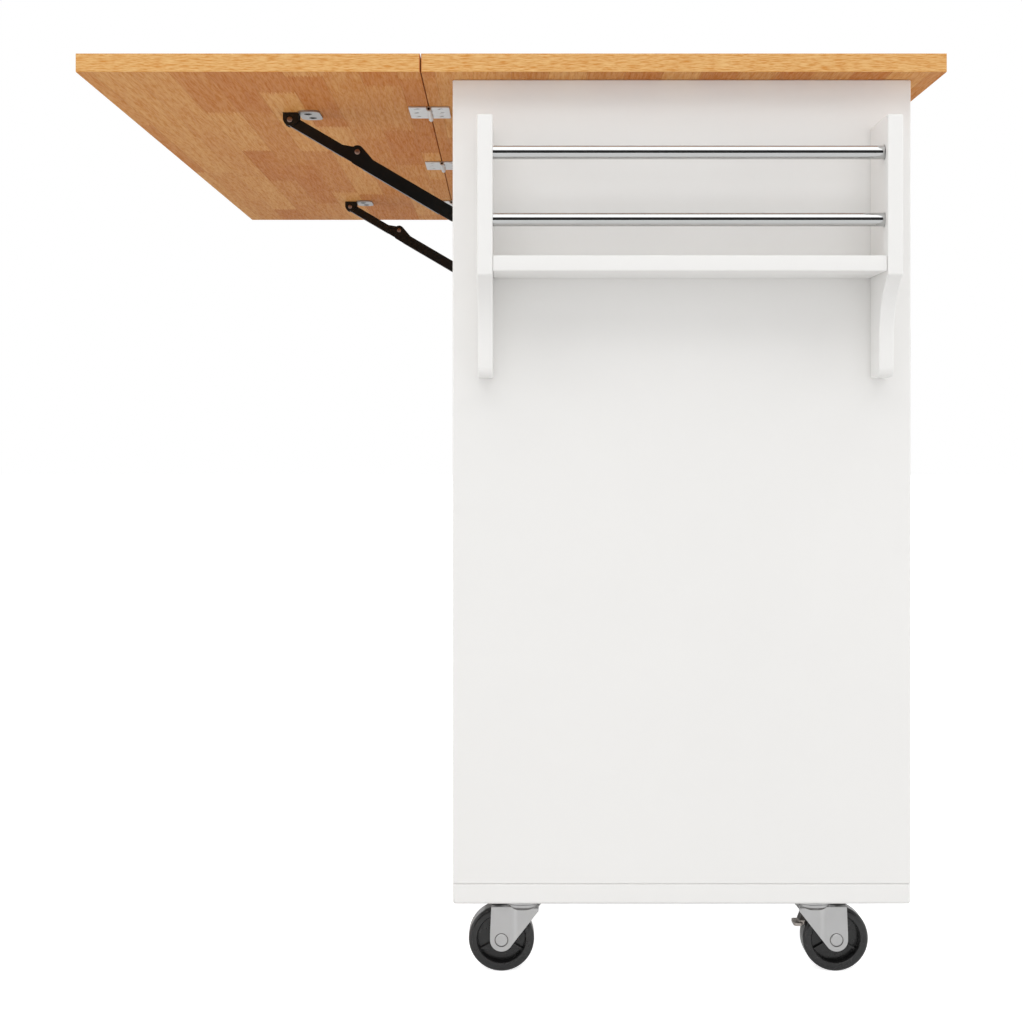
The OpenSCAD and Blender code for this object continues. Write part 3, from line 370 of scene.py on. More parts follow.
STAVES = NodeGroup(
    "stave layout",
    {"Vector": VECTOR}
    | dict.fromkeys(("Width", "Length", "Finger Pitch", "Finger Depth", "Seed"), FLOAT),
    {"Tone": FLOAT, "Shift": VECTOR, "Seam": FLOAT},
    build_staves,
)
GRAIN = NodeGroup(
    "wood grain",
    {"Vector": VECTOR, "Shift": VECTOR},
    {"Streaks": FLOAT, "Fibres": FLOAT, "Figure": FLOAT},
    build_grain,
)
MOTTLE = NodeGroup(
    "mottle", {"Vector": VECTOR, "Scale": FLOAT, "Contrast": FLOAT}, {"Factor": FLOAT}, build_mottle
)
SKIN = NodeGroup(
    "skin",
    {"Vector": VECTOR, "Scale": FLOAT, "Strength": FLOAT, "Depth": FLOAT},
    {"Normal": VECTOR},
    build_skin,
)


# ---- finishes


class Finish:
    """Base of all finishes: makes its material once and hands it out."""

    name: str
    slot: str

    def material(self) -> bpy.types.Material:
        """Makes the finish's material on first use.

        Returns:
            The material.
        """
        found = bpy.data.materials.get(self.name)
        if found:
            return found
        graph = MaterialGraph(self.name)
        self.paint(graph)
        return graph.material

    def paint(self, graph: MaterialGraph) -> None:
        """Adds the finish's nodes; each finish has its own."""
        raise NotImplementedError


@dataclass(frozen=True)
class ButcherBlock(Finish):
    """Finger-jointed hardwood staves under clear oil, with a band of long grain round the edges."""

    name: str
    seed: float
    slot: str = "butcher_block"
    light: Colour = linear(225, 171, 107)
    dark: Colour = linear(208, 141, 78)
    edge: Colour = linear(229, 187, 127)
    # Painted shade of the gap between the worktop and the leaf, given as a darker wood colour.
    joint: Colour = linear(190, 104, 50)
    joint_reach: float = 1.6 * MM
    grain_tint: Colour = (0.76, 0.5, 0.25)
    band_fineness: float = 2.0
    turn: Span = (0.55, 0.75)
    tone_span: Span = (0.1, 0.9)
    band_shift: Span = (0.3, 0.6)
    stave_width: float = 37 * MM
    stave_length: float = 290 * MM
    finger_pitch: float = 4 * MM
    finger_depth: float = 12 * MM
    face_weights: Triple = (0.36, 0.42, 0.16)
    band_weights: Triple = (0.25, 0.85, 0.05)
    seam_shade: float = 0.14
    roughness: Span = (0.5, 0.65)
    specular: float = 0.06
    pore_strength: float = 0.3
    pore_depth: float = 0.12 * MM

    def paint(self, graph: MaterialGraph) -> None:
        """Staves on the two faces, and a band of long grain round the four edges.

        Formula: painted shade of the gap at the joint shows on the ends and on edges that face the doors, as
        far as the joint's reach from the hinge pins, which leaves the worktop's own edge light when the leaf
        is down.

        Args:
            graph: The material's tree.
        """
        where, normal = graph.coordinates()
        x, y, z = graph.split(where)
        normal_x, normal_y, _ = graph.split(normal)
        on_end = graph.remap(graph.math("ABSOLUTE", normal_y), *self.turn)
        on_edge = graph.math("MAXIMUM", on_end, graph.remap(graph.math("ABSOLUTE", normal_x), *self.turn))
        layout = graph.group(
            STAVES,
            {
                "Vector": where,
                "Width": self.stave_width,
                "Length": self.stave_length,
                "Finger Pitch": self.finger_pitch,
                "Finger Depth": self.finger_depth,
                "Seed": self.seed,
            },
        )
        face = graph.group(GRAIN, {"Vector": graph.combine(x, y), "Shift": layout["Shift"]})
        tone = graph.remap(layout["Tone"], *self.tone_span)
        staves = self.grained(graph, graph.mix(tone, self.light, self.dark), face, self.face_weights)
        seam = graph.math("MULTIPLY_ADD", layout["Seam"], -self.seam_shade, 1.0)
        along = graph.math("ADD", y, graph.math("MULTIPLY", on_end, graph.math("SUBTRACT", x, y)))
        on_band = graph.combine(z, along)
        fine = graph.node("VectorMath", {0: on_band, 3: self.band_fineness}, operation="SCALE")
        band = graph.group(GRAIN, {"Vector": fine.outputs[0], "Shift": (*self.band_shift, self.seed)})
        banding = self.grained(graph, self.edge, band, self.band_weights)
        pins_low, pins_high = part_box("leaf_hinge_pins")
        from_joint = graph.math("ABSOLUTE", graph.math("SUBTRACT", x, (pins_low.x + pins_high.x) / 2))
        near_joint = graph.remap(from_joint, self.joint_reach, 0.5 * self.joint_reach)
        shows_joint = graph.math("MAXIMUM", on_end, graph.remap(normal_x, *self.turn))
        # Painted shade in the joint's gap.
        banding = graph.mix(graph.math("MULTIPLY", near_joint, shows_joint), banding, self.joint)
        graph.feed("Base Color", graph.mix(on_edge, graph.multiply(staves, seam), banding))
        fibres = graph.mix(on_edge, face["Fibres"], band["Fibres"])
        graph.feed("Roughness", graph.remap(fibres, 0.0, 1.0, *self.roughness))
        graph.feed("Specular IOR Level", self.specular)
        pores = {"Strength": self.pore_strength, "Distance": self.pore_depth, "Height": fibres}
        graph.feed("Normal", graph.node("Bump", pores, invert=True).outputs[0])

    def grained(self, graph: Graph, base: Term, grain: Sockets, weights: Triple) -> Socket:
        """Tints a colour where its grain is dark.

        Args:
            graph: The material's tree.
            base: The colour without grain.
            grain: Outputs of a placed wood grain group.
            weights: Weights of the streaks, the fibres and the figure.

        Returns:
            The grained colour.
        """
        depth: Term = 0.0
        for part, weight in zip(("Streaks", "Fibres", "Figure"), weights):
            depth = graph.math("MULTIPLY_ADD", grain[part], weight, depth)
        return graph.multiply(base, graph.mix(depth, (1.0, 1.0, 1.0), self.grain_tint))


@dataclass(frozen=True)
class Coating(Finish):
    """A paint, a plastic or a powder coat: one colour with a faint mottle and its own skin."""

    name: str
    slot: str
    colour: Colour
    roughness: float = 0.4
    specular: float = 0.5
    mottle_scale: float = 6.0
    mottle_contrast: float = 0.03
    skin_scale: float = 900.0
    skin_strength: float = 0.1
    skin_depth: float = 0.05 * MM
    shine_fineness: float = 4.0
    shine_contrast: float = 0.25

    def paint(self, graph: MaterialGraph) -> None:
        """A mottled colour and roughness over a fine bump.

        Args:
            graph: The material's tree.
        """
        where, _ = graph.coordinates()
        uneven = {"Vector": where, "Scale": self.mottle_scale, "Contrast": self.mottle_contrast}
        even = graph.group(MOTTLE, uneven)
        graph.feed("Base Color", graph.multiply(self.colour, even["Factor"]))
        scale = self.shine_fineness * self.mottle_scale
        finer = {"Vector": where, "Scale": scale, "Contrast": self.shine_contrast}
        shine = graph.group(MOTTLE, finer)
        graph.feed("Roughness", graph.math("MULTIPLY", shine["Factor"], self.roughness))
        graph.feed("Specular IOR Level", self.specular)
        relief = {"Scale": self.skin_scale, "Strength": self.skin_strength, "Depth": self.skin_depth}
        fine = graph.group(SKIN, {"Vector": where, **relief})
        graph.feed("Normal", fine["Normal"])


@dataclass(frozen=True)
class Metal(Finish):
    """A bare or plated metal: its own colour, cloudy in gloss, with rolling marks along one axis."""

    name: str
    slot: str
    colour: Colour
    roughness: float = 0.3
    cloud: float = 0.06
    marks: Triple = (1.0, 1.0, 1.0)
    mark_scale: float = 500.0
    mark_strength: float = 0.06
    mark_depth: float = 0.02 * MM
    mark_contrast: float = 0.5
    cloud_scale: float = 60.0

    def paint(self, graph: MaterialGraph) -> None:
        """A cloudy colour and gloss, with a bump of noise drawn out along the marks.

        Args:
            graph: The material's tree.
        """
        where, _ = graph.coordinates()
        drawn = graph.node("VectorMath", {0: where, 1: self.marks}, operation="MULTIPLY").outputs[0]
        even = graph.group(MOTTLE, {"Vector": where, "Scale": self.cloud_scale, "Contrast": self.cloud})
        clean = graph.multiply(self.colour, even["Factor"])
        graph.feed("Base Color", self.with_painted_shade(graph, clean))
        uneven = {"Vector": drawn, "Scale": self.mark_scale, "Contrast": self.mark_contrast}
        shine = graph.group(MOTTLE, uneven)
        graph.feed("Roughness", graph.math("MULTIPLY", shine["Factor"], self.roughness))
        graph.feed("Metallic", 1.0)
        relief = {"Scale": self.mark_scale, "Strength": self.mark_strength, "Depth": self.mark_depth}
        fine = graph.group(SKIN, {"Vector": drawn, **relief})
        graph.feed("Normal", fine["Normal"])

    def with_painted_shade(self, graph: MaterialGraph, clean: Socket) -> Socket:
        """Returns the metal's colour as it is; a metal with painted shade darkens it where the shade falls.
        """
        return clean


@dataclass(frozen=True)
class ForkZinc(Metal):
    """Zinc plate of the caster forks, with painted shade inside, under the crown and round the axle, and a
    painted highlight on the bend.
    """

    # Where painted shade darkens the fork and a painted highlight brightens its bend.
    cap_radius: float = 6 * MM
    ring: Span = (1.2 * MM, 0.4 * MM)
    away: Span = (-0.3, -0.6)
    beneath_share: float = 0.7
    shade_noise_scale: float = 180.0
    shade_noise_span: Span = (0.3, 0.6)
    shade_noise_least: float = 0.75
    bend: float = -14.2 * MM
    bend_width: float = 3 * MM
    bend_core: float = 0.6 * MM
    bend_highlight_gain: float = 1.08
    # Painted shade: the shaded places of the fork are multiplied by this colour.
    shade_colour: Colour = (0.16, 0.14, 0.125)

    def with_painted_shade(self, graph: MaterialGraph, clean: Socket) -> Socket:
        """Darkens the faces that point at the wheel, those that point down, and a ring round each cap, as
        painted shade, and brightens the upright bend beside the axle as a painted highlight.

        Formula: the four casters mirror about the middle, so the distances from it, less those of the
        axle and of the caster's own middle plane, are the same places on each. A face points at the
        wheel where that distance times the normal's Y, both taken outwards, is below zero.

        Args:
            graph: The material's tree.
            clean: The clean colour.

        Returns:
            The colour with its painted shade and painted highlight.
        """
        first_low, first_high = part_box("near_rear_axle")
        last_low, last_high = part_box("far_front_axle")
        first, last = (first_low + first_high) / 2, (last_low + last_high) / 2
        middle, half = (first + last) / 2, (last - first) / 2
        where, normal = graph.coordinates()
        x, y, z = graph.split(where)
        _, normal_y, normal_z = graph.split(normal)
        from_middle = graph.math("SUBTRACT", y, middle.y)
        outwards = graph.math("MULTIPLY", normal_y, graph.math("SIGN", from_middle))
        beyond = graph.math("SUBTRACT", graph.math("ABSOLUTE", from_middle), half.y)
        facing = graph.math("MULTIPLY", outwards, graph.math("SIGN", beyond))
        # Painted shade: faces that point at the wheel, faces that point down, and a ring round each cap.
        inside = graph.remap(facing, *self.away)
        beneath = graph.remap(normal_z, *self.away)
        side = graph.math("SUBTRACT", graph.math("ABSOLUTE", graph.math("SUBTRACT", x, middle.x)), half.x)
        to_axle = graph.combine(side, graph.math("SUBTRACT", z, middle.z))
        reach = graph.node("VectorMath", {0: to_axle}, operation="LENGTH").outputs["Value"]
        ring = graph.remap(reach, self.cap_radius + self.ring[0], self.cap_radius + self.ring[1])
        # Painted highlight: the upright bend beside the axle is brightened.
        from_bend = graph.math("ABSOLUTE", graph.math("SUBTRACT", side, self.bend))
        bend_highlight = graph.remap(from_bend, self.bend_core, self.bend_width, start=self.bend_highlight_gain)
        clean = graph.multiply(clean, bend_highlight)
        # Noise makes the painted shade patchy.
        cloud = graph.remap(graph.noise(where, self.shade_noise_scale), *self.shade_noise_span, start=self.shade_noise_least)
        painted_shade = graph.math("MAXIMUM", inside, graph.math("MULTIPLY", beneath, self.beneath_share))
        painted_shade = graph.math("MULTIPLY", graph.math("MAXIMUM", painted_shade, ring), cloud)
        return graph.mix(painted_shade, clean, graph.multiply(clean, self.shade_colour))


@dataclass(frozen=True)
class PedalSteel(Metal):
    """Brake steel whose arm above the pedal's tab is darkened as painted shade."""

    tab_height: float = 4 * MM
    fade: float = 2 * MM
    # Painted shade: the arm above the tab is multiplied by this colour.
    shade_colour: Colour = (0.12, 0.12, 0.12)

    def with_painted_shade(self, graph: MaterialGraph, clean: Socket) -> Socket:
        """Darkens the colour above the tab as painted shade.

        Args:
            graph: The material's tree.
            clean: The clean colour.

        Returns:
            The darkened colour.
        """
        where, _ = graph.coordinates()
        height = graph.split(where)[2]
        tab_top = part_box("near_front_brake")[0].z + self.tab_height
        # Painted shade above the tab.
        above = graph.remap(height, tab_top, tab_top + self.fade)
        return graph.mix(above, clean, graph.multiply(clean, self.shade_colour))


@dataclass(frozen=True)
class BirchPly(Finish):
    """Birch plywood under clear lacquer, with its plies showing on the top edges."""

    name: str = "birch plywood"
    slot: str = "birch_ply"
    light: Colour = linear(232, 209, 170)
    dark: Colour = linear(196, 160, 112)
    ply: float = 1.5 * MM
    rim: float = 3 * MM
    rim_fade: float = 1 * MM
    wave: Span = (0.6, 0.1)
    shift: Triple = (0.2, 0.1, 0.5)
    up_span: Span = (0.7, 0.9)
    ply_span: Span = (-0.3, 0.3)
    roughness: float = 0.45
    pore_strength: float = 0.2
    pore_depth: float = 0.1 * MM

    def paint(self, graph: MaterialGraph) -> None:
        """Rotary-cut figure along the walls and the bottom, and stripes of a ply's thickness on the rim.

        Formula: on an upward face the grain runs along X over Y, and elsewhere along X + Y over Z.

        Args:
            graph: The material's tree.
        """
        where, normal = graph.coordinates()
        x, y, z = graph.split(where)
        up = graph.remap(graph.split(normal)[2], *self.up_span)
        across = graph.math("MULTIPLY_ADD", graph.math("SUBTRACT", y, z), up, z)
        along = graph.math("MULTIPLY_ADD", graph.math("MULTIPLY", y, -1.0), up, graph.math("ADD", x, y))
        grain = graph.group(GRAIN, {"Vector": graph.combine(across, along), "Shift": self.shift})
        wavy = graph.math("MULTIPLY_ADD", grain["Streaks"], *self.wave)
        colour = graph.mix(wavy, self.light, self.dark)
        stripe = graph.math("SINE", graph.math("MULTIPLY", y, math.tau / (2 * self.ply)))
        plies = graph.mix(graph.remap(stripe, *self.ply_span), self.light, self.dark)
        rim_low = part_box("near_drawer_box")[1].z - self.rim
        on_rim = graph.math("MULTIPLY", up, graph.remap(z, rim_low, rim_low + self.rim_fade))
        graph.feed("Base Color", graph.mix(on_rim, colour, plies))
        graph.feed("Roughness", self.roughness)
        relief = {"Strength": self.pore_strength, "Distance": self.pore_depth, "Height": grain["Fibres"]}
        graph.feed("Normal", graph.node("Bump", relief, invert=True).outputs[0])


class Finishes(Enum):
    """The finishes of the island, by the name a maker would give them or by the painted shade they carry."""

    TOP_WOOD = ButcherBlock("worktop wood", seed=3.0)
    LEAF_WOOD = ButcherBlock("leaf wood", seed=11.0)
    WHITE_PAINT = Coating(
        "satin white paint", "white_paint", linear(237, 236, 234), roughness=0.42, specular=0.35
    )
    PLY = BirchPly()
    ZINC = Metal("zinc plate", "zinc_steel", (0.53, 0.53, 0.53), roughness=0.34, cloud=0.1)
    BRIGHT_ZINC = Metal("bright zinc plate", "zinc_steel", (0.67, 0.67, 0.67), roughness=0.34, cloud=0.1)
    DULL_ZINC = Metal("dull zinc plate", "zinc_steel", (0.4, 0.39, 0.38), roughness=0.34, cloud=0.2)
    # Painted shade: screw heads and hinge pins are nearly black so that they read as the shadow in their
    # countersinks and bores.
    SHADED_SCREW_ZINC = Metal("screw zinc darkened as painted shade", "zinc_steel", (0.05, 0.05, 0.05), roughness=0.5, cloud=0.2)
    FORK_ZINC = ForkZinc("fork zinc plate", "zinc_steel", (0.53, 0.53, 0.53), roughness=0.34, cloud=0.1)
    CHROME = Metal(
        "rail chrome",
        "rail_chrome",
        (0.55, 0.556, 0.554),
        roughness=0.07,
        cloud=0.02,
        marks=(0.02, 1.0, 1.0),
        mark_scale=900.0,
        mark_strength=0.02,
    )
    BLACK_COAT = Coating(
        "black powder coat",
        "black_steel",
        (0.006, 0.0056, 0.005),
        roughness=0.3,
        specular=0.3,
        mottle_scale=30.0,
        mottle_contrast=0.2,
        skin_scale=1400.0,
    )
    COPPER = Metal("copper rivet", "copper_rivet", (0.3, 0.2, 0.16), roughness=0.4, cloud=0.2)
    WHEEL = Coating(
        "moulded black plastic",
        "wheel_plastic",
        (0.014, 0.014, 0.014),
        roughness=0.2,
        mottle_scale=60.0,
        mottle_contrast=0.15,
        skin_scale=1600.0,
        skin_strength=0.06,
    )
    NICKEL = Metal("satin nickel", "satin_nickel", (0.62, 0.58, 0.53), roughness=0.28, cloud=0.05)
    BRAKE = PedalSteel("brake steel", "brake_steel", (0.44, 0.4, 0.37), roughness=0.4, cloud=0.2)
    CATCH = Coating("matt black plastic", "catch_plastic", (0.02, 0.02, 0.02), roughness=0.6, specular=0.4)

    def on(self, piece: bpy.types.Object) -> None:
        """Gives a piece this finish."""
        piece.data.materials.clear()
        piece.data.materials.append(self.value.material())


# ---- meshes


def add_object(name: str, data: bpy.types.ID) -> bpy.types.Object:
    """Makes an object and adds it to the scene.

    Args:
        name: The object's name.
        data: Its mesh, lamp or camera.

    Returns:
        The object, at the origin.
    """
    made = bpy.data.objects.new(name, data)
    bpy.context.scene.collection.objects.link(made)
    return made


def new_piece(name: str, body: str, finish: Finishes, shape: Grid) -> None:
    """Makes a piece of its mesh data, finishes it and lets it ride on its body.

    Args:
        name: The piece's name.
        body: The frame's body that carries it.
        finish: Its finish.
        shape: Vertices as rows, and faces as arrays of vertex numbers.
    """
    vertices, faces = shape
    mesh = bpy.data.meshes.new(name)
    mesh.from_pydata(vertices.tolist(), [], [face for part in faces for face in part.tolist()])
    mesh.polygons.foreach_set("use_smooth", np.full(len(mesh.polygons), True))
    mesh.update()
    piece = add_object(name, mesh)
    finish.on(piece)
    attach(piece, body)
    LOG.info("%s: %d faces, rides on %s", name, len(mesh.polygons), body)


def lathe(profile: np.ndarray, segments: int) -> Grid:
    """Turns a profile about Z.

    Formula: point (radius, height) at the angle t becomes (radius cos t, radius sin t, height). The
    first and the last profile points lie on the axis and become single poles.

    Args:
        profile: Rows of radius and height, from the top pole to the bottom pole.
        segments: Steps round the axis.

    Returns:
        The closed shape, its faces pointing outwards.
    """
    turn = np.arange(segments) * math.tau / segments
    ring = profile[1:-1]
    body = np.stack(
        [
            np.outer(ring[:, 0], np.cos(turn)),
            np.outer(ring[:, 0], np.sin(turn)),
            np.repeat(ring[:, 1:], segments, axis=1),
        ],
        axis=-1,
    ).reshape(-1, 3)
    poles = np.array([[0, 0, profile[0, 1]], [0, 0, profile[-1, 1]]])
    vertices = np.vstack([body, poles])
    rows = len(ring)
    here = np.arange(rows * segments).reshape(rows, segments)
    after = np.roll(here, -1, axis=1)
    quads = np.stack([here[:-1], here[1:], after[1:], after[:-1]], axis=-1).reshape(-1, 4)
    top = np.full(segments, rows * segments)
    top_cap = np.stack([top, here[0], after[0]], axis=-1)
    bottom_cap = np.stack([top + 1, after[-1], here[-1]], axis=-1)
    return vertices, [quads, top_cap, bottom_cap]


@dataclass(frozen=True)
class Screw:
    """A cross-slot screw; its rings, shank and slot are shares of the radius of its head.

    A countersunk head tapers to its shank below, and any other stands on its face.
    """

    radius: float
    dome: float
    countersunk: bool = False
    rings: tuple[float, ...] = (0.0, 0.18, 0.36, 0.54, 0.62, 0.85, 1.0)
    shank: float = 0.5
    slot_half_width: float = 0.13
    slot_reach: float = 0.58
    slot_depth: float = 0.35
    segments: int = 24

    def head(self) -> Grid:
        """Shapes the head, with its top on Z = 0 and its axis along +Z.

        Formula: a turned head whose top rises by the dome times one minus the squared share of the
        radius. The vertices of its inner rings that lie within the slot's half width of either axis
        sink by the slot's depth.

        Returns:
            The closed shape.
        """
        shares = np.array(self.rings)
        top = np.stack([shares * self.radius, self.dome * (1 - shares**2)], axis=1)
        shank = self.shank * self.radius
        foot_radius, foot = (shank, -shank) if self.countersunk else (self.radius, -self.dome)
        vertices, faces = lathe(np.vstack([top, [[foot_radius, foot], [0.0, foot]]]), self.segments)
        across = np.abs(vertices[:, :2])
        in_slot = across.min(axis=1) < self.slot_half_width * self.radius
        inner = np.hypot(vertices[:, 0], vertices[:, 1]) < self.slot_reach * self.radius
        sunk = in_slot & inner & (vertices[:, 2] >= 0)
        vertices[:, 2] -= np.where(sunk, self.slot_depth * self.radius, 0.0)
        return vertices, faces


def scatter(shape: Grid, places: list[Place], axis: Place) -> Grid:
    """Copies a shape to several places as one mesh.

    Formula: each vertex is turned by the matrix whose third column is the axis, and then moved by the
    place; every copy is also turned about its own axis by the golden angle times its number.

    Args:
        shape: The shape, with its own axis along +Z.
        places: Where each copy goes.
        axis: Direction that the shape's +Z takes.

    Returns:
        All the copies as one shape.
    """
    vertices, faces = shape
    spots = np.array(places, float)
    z = np.array(axis, float) / np.linalg.norm(axis)
    x = np.cross([0.0, 1.0, 0.0] if abs(z[1]) < 0.9 else [1.0, 0.0, 0.0], z)
    x /= np.linalg.norm(x)
    frame = np.stack([x, np.cross(z, x), z], axis=1)
    angle = np.arange(len(spots)) * GOLDEN_ANGLE
    spin = np.zeros((len(spots), 3, 3))
    spin[:, 0, 0] = spin[:, 1, 1] = np.cos(angle)
    spin[:, 1, 0] = np.sin(angle)
    spin[:, 0, 1] = -np.sin(angle)
    spin[:, 2, 2] = 1.0
    placed = np.einsum("ij,njk,vk->nvi", frame, spin, vertices) + spots[:, None, :]
    count = len(vertices)
    copied = [part + k * count for k in range(len(spots)) for part in faces]
    return placed.reshape(-1, 3), copied


# ---- sub-assemblies


@dataclass
class SubAssembly:
    """A group of pieces that are dressed together."""

    nodes: dict[str, bpy.types.Object] = field(repr=False)

    def finish_nodes(self, finish: Finishes, *names: str) -> None:
        """Gives carried-over pieces a finish.

        Args:
            finish: The finish.
            *names: The pieces' names in the frame.
        """
        for name in names:
            finish.on(self.nodes[name])
            LOG.info("%s: carried over, %s", name, finish.value.name)

    def soften_nodes(self, width: float, *names: str) -> None:
        """Rounds the sharp edges of carried-over boards by modifiers, and leaves their faces flat.

        Args:
            width: Width of the rounding.
            *names: The boards' names in the frame.
        """
        for name in names:
            modifiers = self.nodes[name].modifiers
            weld = modifiers.new("join corners", "WELD")
            weld.merge_threshold = 0.01 * MM
            flat = modifiers.new("whole faces", "DECIMATE")
            flat.decimate_type = "DISSOLVE"
            flat.angle_limit = math.radians(0.5)
            bevel = modifiers.new("soft edges", "BEVEL")
            bevel.width = width
            bevel.segments = 2
            bevel.limit_method = "ANGLE"
            bevel.angle_limit = math.radians(40)
            bevel.use_clamp_overlap = False
            modifiers.new("even normals", "WEIGHTED_NORMAL")

    def add_screws(self, name: str, body: str, screw: Screw, spots: list[Place], axis: Place = DOWN) -> None:
        """Adds screw heads as one piece; they stand on their spots and point along the axis."""
        # The heads are nearly black, painted shade of their countersinks.
        new_piece(name, body, Finishes.SHADED_SCREW_ZINC, scatter(screw.head(), spots, axis))

    def dress(self) -> None:
        """Dresses the sub-assembly; each one has its own way."""
        raise NotImplementedError


@dataclass
class Boards(SubAssembly):
    """The fixed worktop and the drop leaf."""

    def dress(self) -> None:
        """Staves on both boards, drawn apart."""
        self.finish_nodes(Finishes.TOP_WOOD, "worktop")
        self.finish_nodes(Finishes.LEAF_WOOD, "drop_leaf_board")


@dataclass
class LeafHinges(SubAssembly):
    """The hinges under the joint between the worktop and the leaf."""

    screw: Screw = Screw(4.0 * MM, 0.25 * MM, countersunk=True)
    head_sunk: float = 0.9 * MM
    plate_thick: float = 1.6 * MM
    pin_sunk: float = 1.6 * MM
    columns: tuple[float, ...] = (12.5 * MM, 13.8 * MM, 12.5 * MM)
    shares: tuple[float, ...] = (0.16, 0.5, 0.84)
    length: float = 63 * MM

    def dress(self) -> None:
        """Zinc plates with three countersunk screws in each."""
        self.finish_nodes(Finishes.BRIGHT_ZINC, "leaf_hinge_fixed_leaves", "leaf_hinge_swing_leaves")
        self.finish_nodes(Finishes.SHADED_SCREW_ZINC, "leaf_hinge_pins")
        pin_low, pin_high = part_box("leaf_hinge_pins")
        plates_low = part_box("leaf_hinge_swing_leaves")[1].z - self.plate_thick
        pin_x = (pin_low.x + pin_high.x) / 2
        first = pin_low.y - self.pin_sunk
        span = pin_high.y + self.pin_sunk - first - self.length
        starts = [first + share * span for share in (0.0, 0.5, 1.0)]
        for body, side, name in (("cabinet", 1, "fixed"), ("drop_leaf", -1, "swing")):
            spots = [
                (pin_x + side * column, start + share * self.length, plates_low + self.head_sunk)
                for start in starts
                for column, share in zip(self.columns, self.shares)
            ]
            self.add_screws(f"leaf_hinge_{name}_screws", body, self.screw, spots)


@dataclass
class LeafSupports(SubAssembly):
    """The two folding supports under the leaf."""

    screw: Screw = Screw(4.4 * MM, 0.9 * MM)
    plate_spots: tuple[Span, ...] = ((0.42, 0.3), (0.55, 0.75))
    plate_length: float = 50 * MM
    bracket_thick: float = 2 * MM
    bracket_length: float = 34 * MM
    bracket_gap: float = 2.1 * MM
    screw_inset: float = 10 * MM
    screw_rise: float = 8 * MM

    def dress(self) -> None:
        """Black links and brackets, copper rivets, zinc plates with their screws."""
        for side in ("near", "far"):
            self.finish_nodes(Finishes.BLACK_COAT, f"{side}_lower_link", f"{side}_upper_link")
            self.finish_nodes(Finishes.COPPER, f"{side}_elbow_rivet")
        self.finish_nodes(Finishes.BLACK_COAT, "strut_wall_brackets", "strut_leaf_clevises")
        self.finish_nodes(Finishes.COPPER, "strut_leaf_rivets")
        self.finish_nodes(Finishes.DULL_ZINC, "strut_leaf_plates")
        self.leaf_screws()
        self.wall_screws()

    def leaf_screws(self) -> None:
        """Screws of the two mounting plates on the leaf."""
        low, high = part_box("strut_leaf_plates")
        spots = [
            (low.x + x * (high.x - low.x), start + y * self.plate_length, low.z)
            for start in (low.y, high.y - self.plate_length)
            for x, y in self.plate_spots
        ]
        self.add_screws("strut_plate_screws", "drop_leaf", self.screw, spots)

    def wall_screws(self) -> None:
        """Screws of the two brackets on the back panel."""
        low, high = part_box("strut_wall_brackets")
        wall_x = high.x - self.bracket_thick
        middle = (low.z + high.z) / 2
        near_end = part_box("near_lower_link")[0].y + self.bracket_gap + self.bracket_length
        spots = [
            (wall_x, end - self.screw_inset, middle + rise)
            for end in (high.y, near_end)
            for rise in (-self.screw_rise, self.screw_rise)
        ]
        self.add_screws("strut_bracket_screws", "cabinet", self.screw, spots, (-1.0, 0.0, 0.0))


@dataclass
class Cabinet(SubAssembly):
    """The painted case with its shelves, runners and hinges' fixed halves."""

    edge: float = 0.6 * MM
    seam_edge: float = 1.3 * MM
    ends: tuple[str, ...] = ("base_board", "near_end_panel", "far_end_panel")
    boards: tuple[str, ...] = ("back_panel", "centre_divider", "front_rails", "cupboard_shelves")

    def dress(self) -> None:
        """White paint on the case, zinc and nickel on its fittings."""
        self.finish_nodes(Finishes.WHITE_PAINT, *self.ends, *self.boards)
        self.soften_nodes(self.seam_edge, *self.ends)
        self.soften_nodes(self.edge, *self.boards)
        self.finish_nodes(Finishes.ZINC, "shelf_pins", "drawer_runners")
        self.finish_nodes(Finishes.CATCH, "door_catches")
        self.finish_nodes(Finishes.NICKEL, "door_hinge_frame_leaves")


@dataclass
class Fronts(SubAssembly):
    """The two drawers and the two doors."""

    edge: float = 1.2 * MM
    ply_edge: float = 0.5 * MM

    def dress(self) -> None:
        """Painted fronts with nickel knobs, plywood boxes, zinc slides."""
        for side in ("near", "far"):
            self.finish_nodes(Finishes.WHITE_PAINT, f"{side}_drawer_front", f"{side}_door")
            self.soften_nodes(self.edge, f"{side}_drawer_front", f"{side}_door")
            self.soften_nodes(self.ply_edge, f"{side}_drawer_box")
            self.finish_nodes(Finishes.PLY, f"{side}_drawer_box")
            self.finish_nodes(Finishes.ZINC, f"{side}_drawer_slides")
            self.finish_nodes(
                Finishes.NICKEL, f"{side}_drawer_knob", f"{side}_door_knob", f"{side}_door_hinge_leaves"
            )


@dataclass
class SpiceRack(SubAssembly):
    """The rack on the near end: two shaped boards, a shelf and two rails."""

    edge: float = 1.5 * MM

    def dress(self) -> None:
        """White paint on the softened boards and shelf, and chrome rails."""
        self.finish_nodes(Finishes.CHROME, "rack_rails")
        boards = ("rack_rear_board", "rack_front_board", "rack_shelf")
        self.finish_nodes(Finishes.WHITE_PAINT, *boards)
        self.soften_nodes(self.edge, *boards)


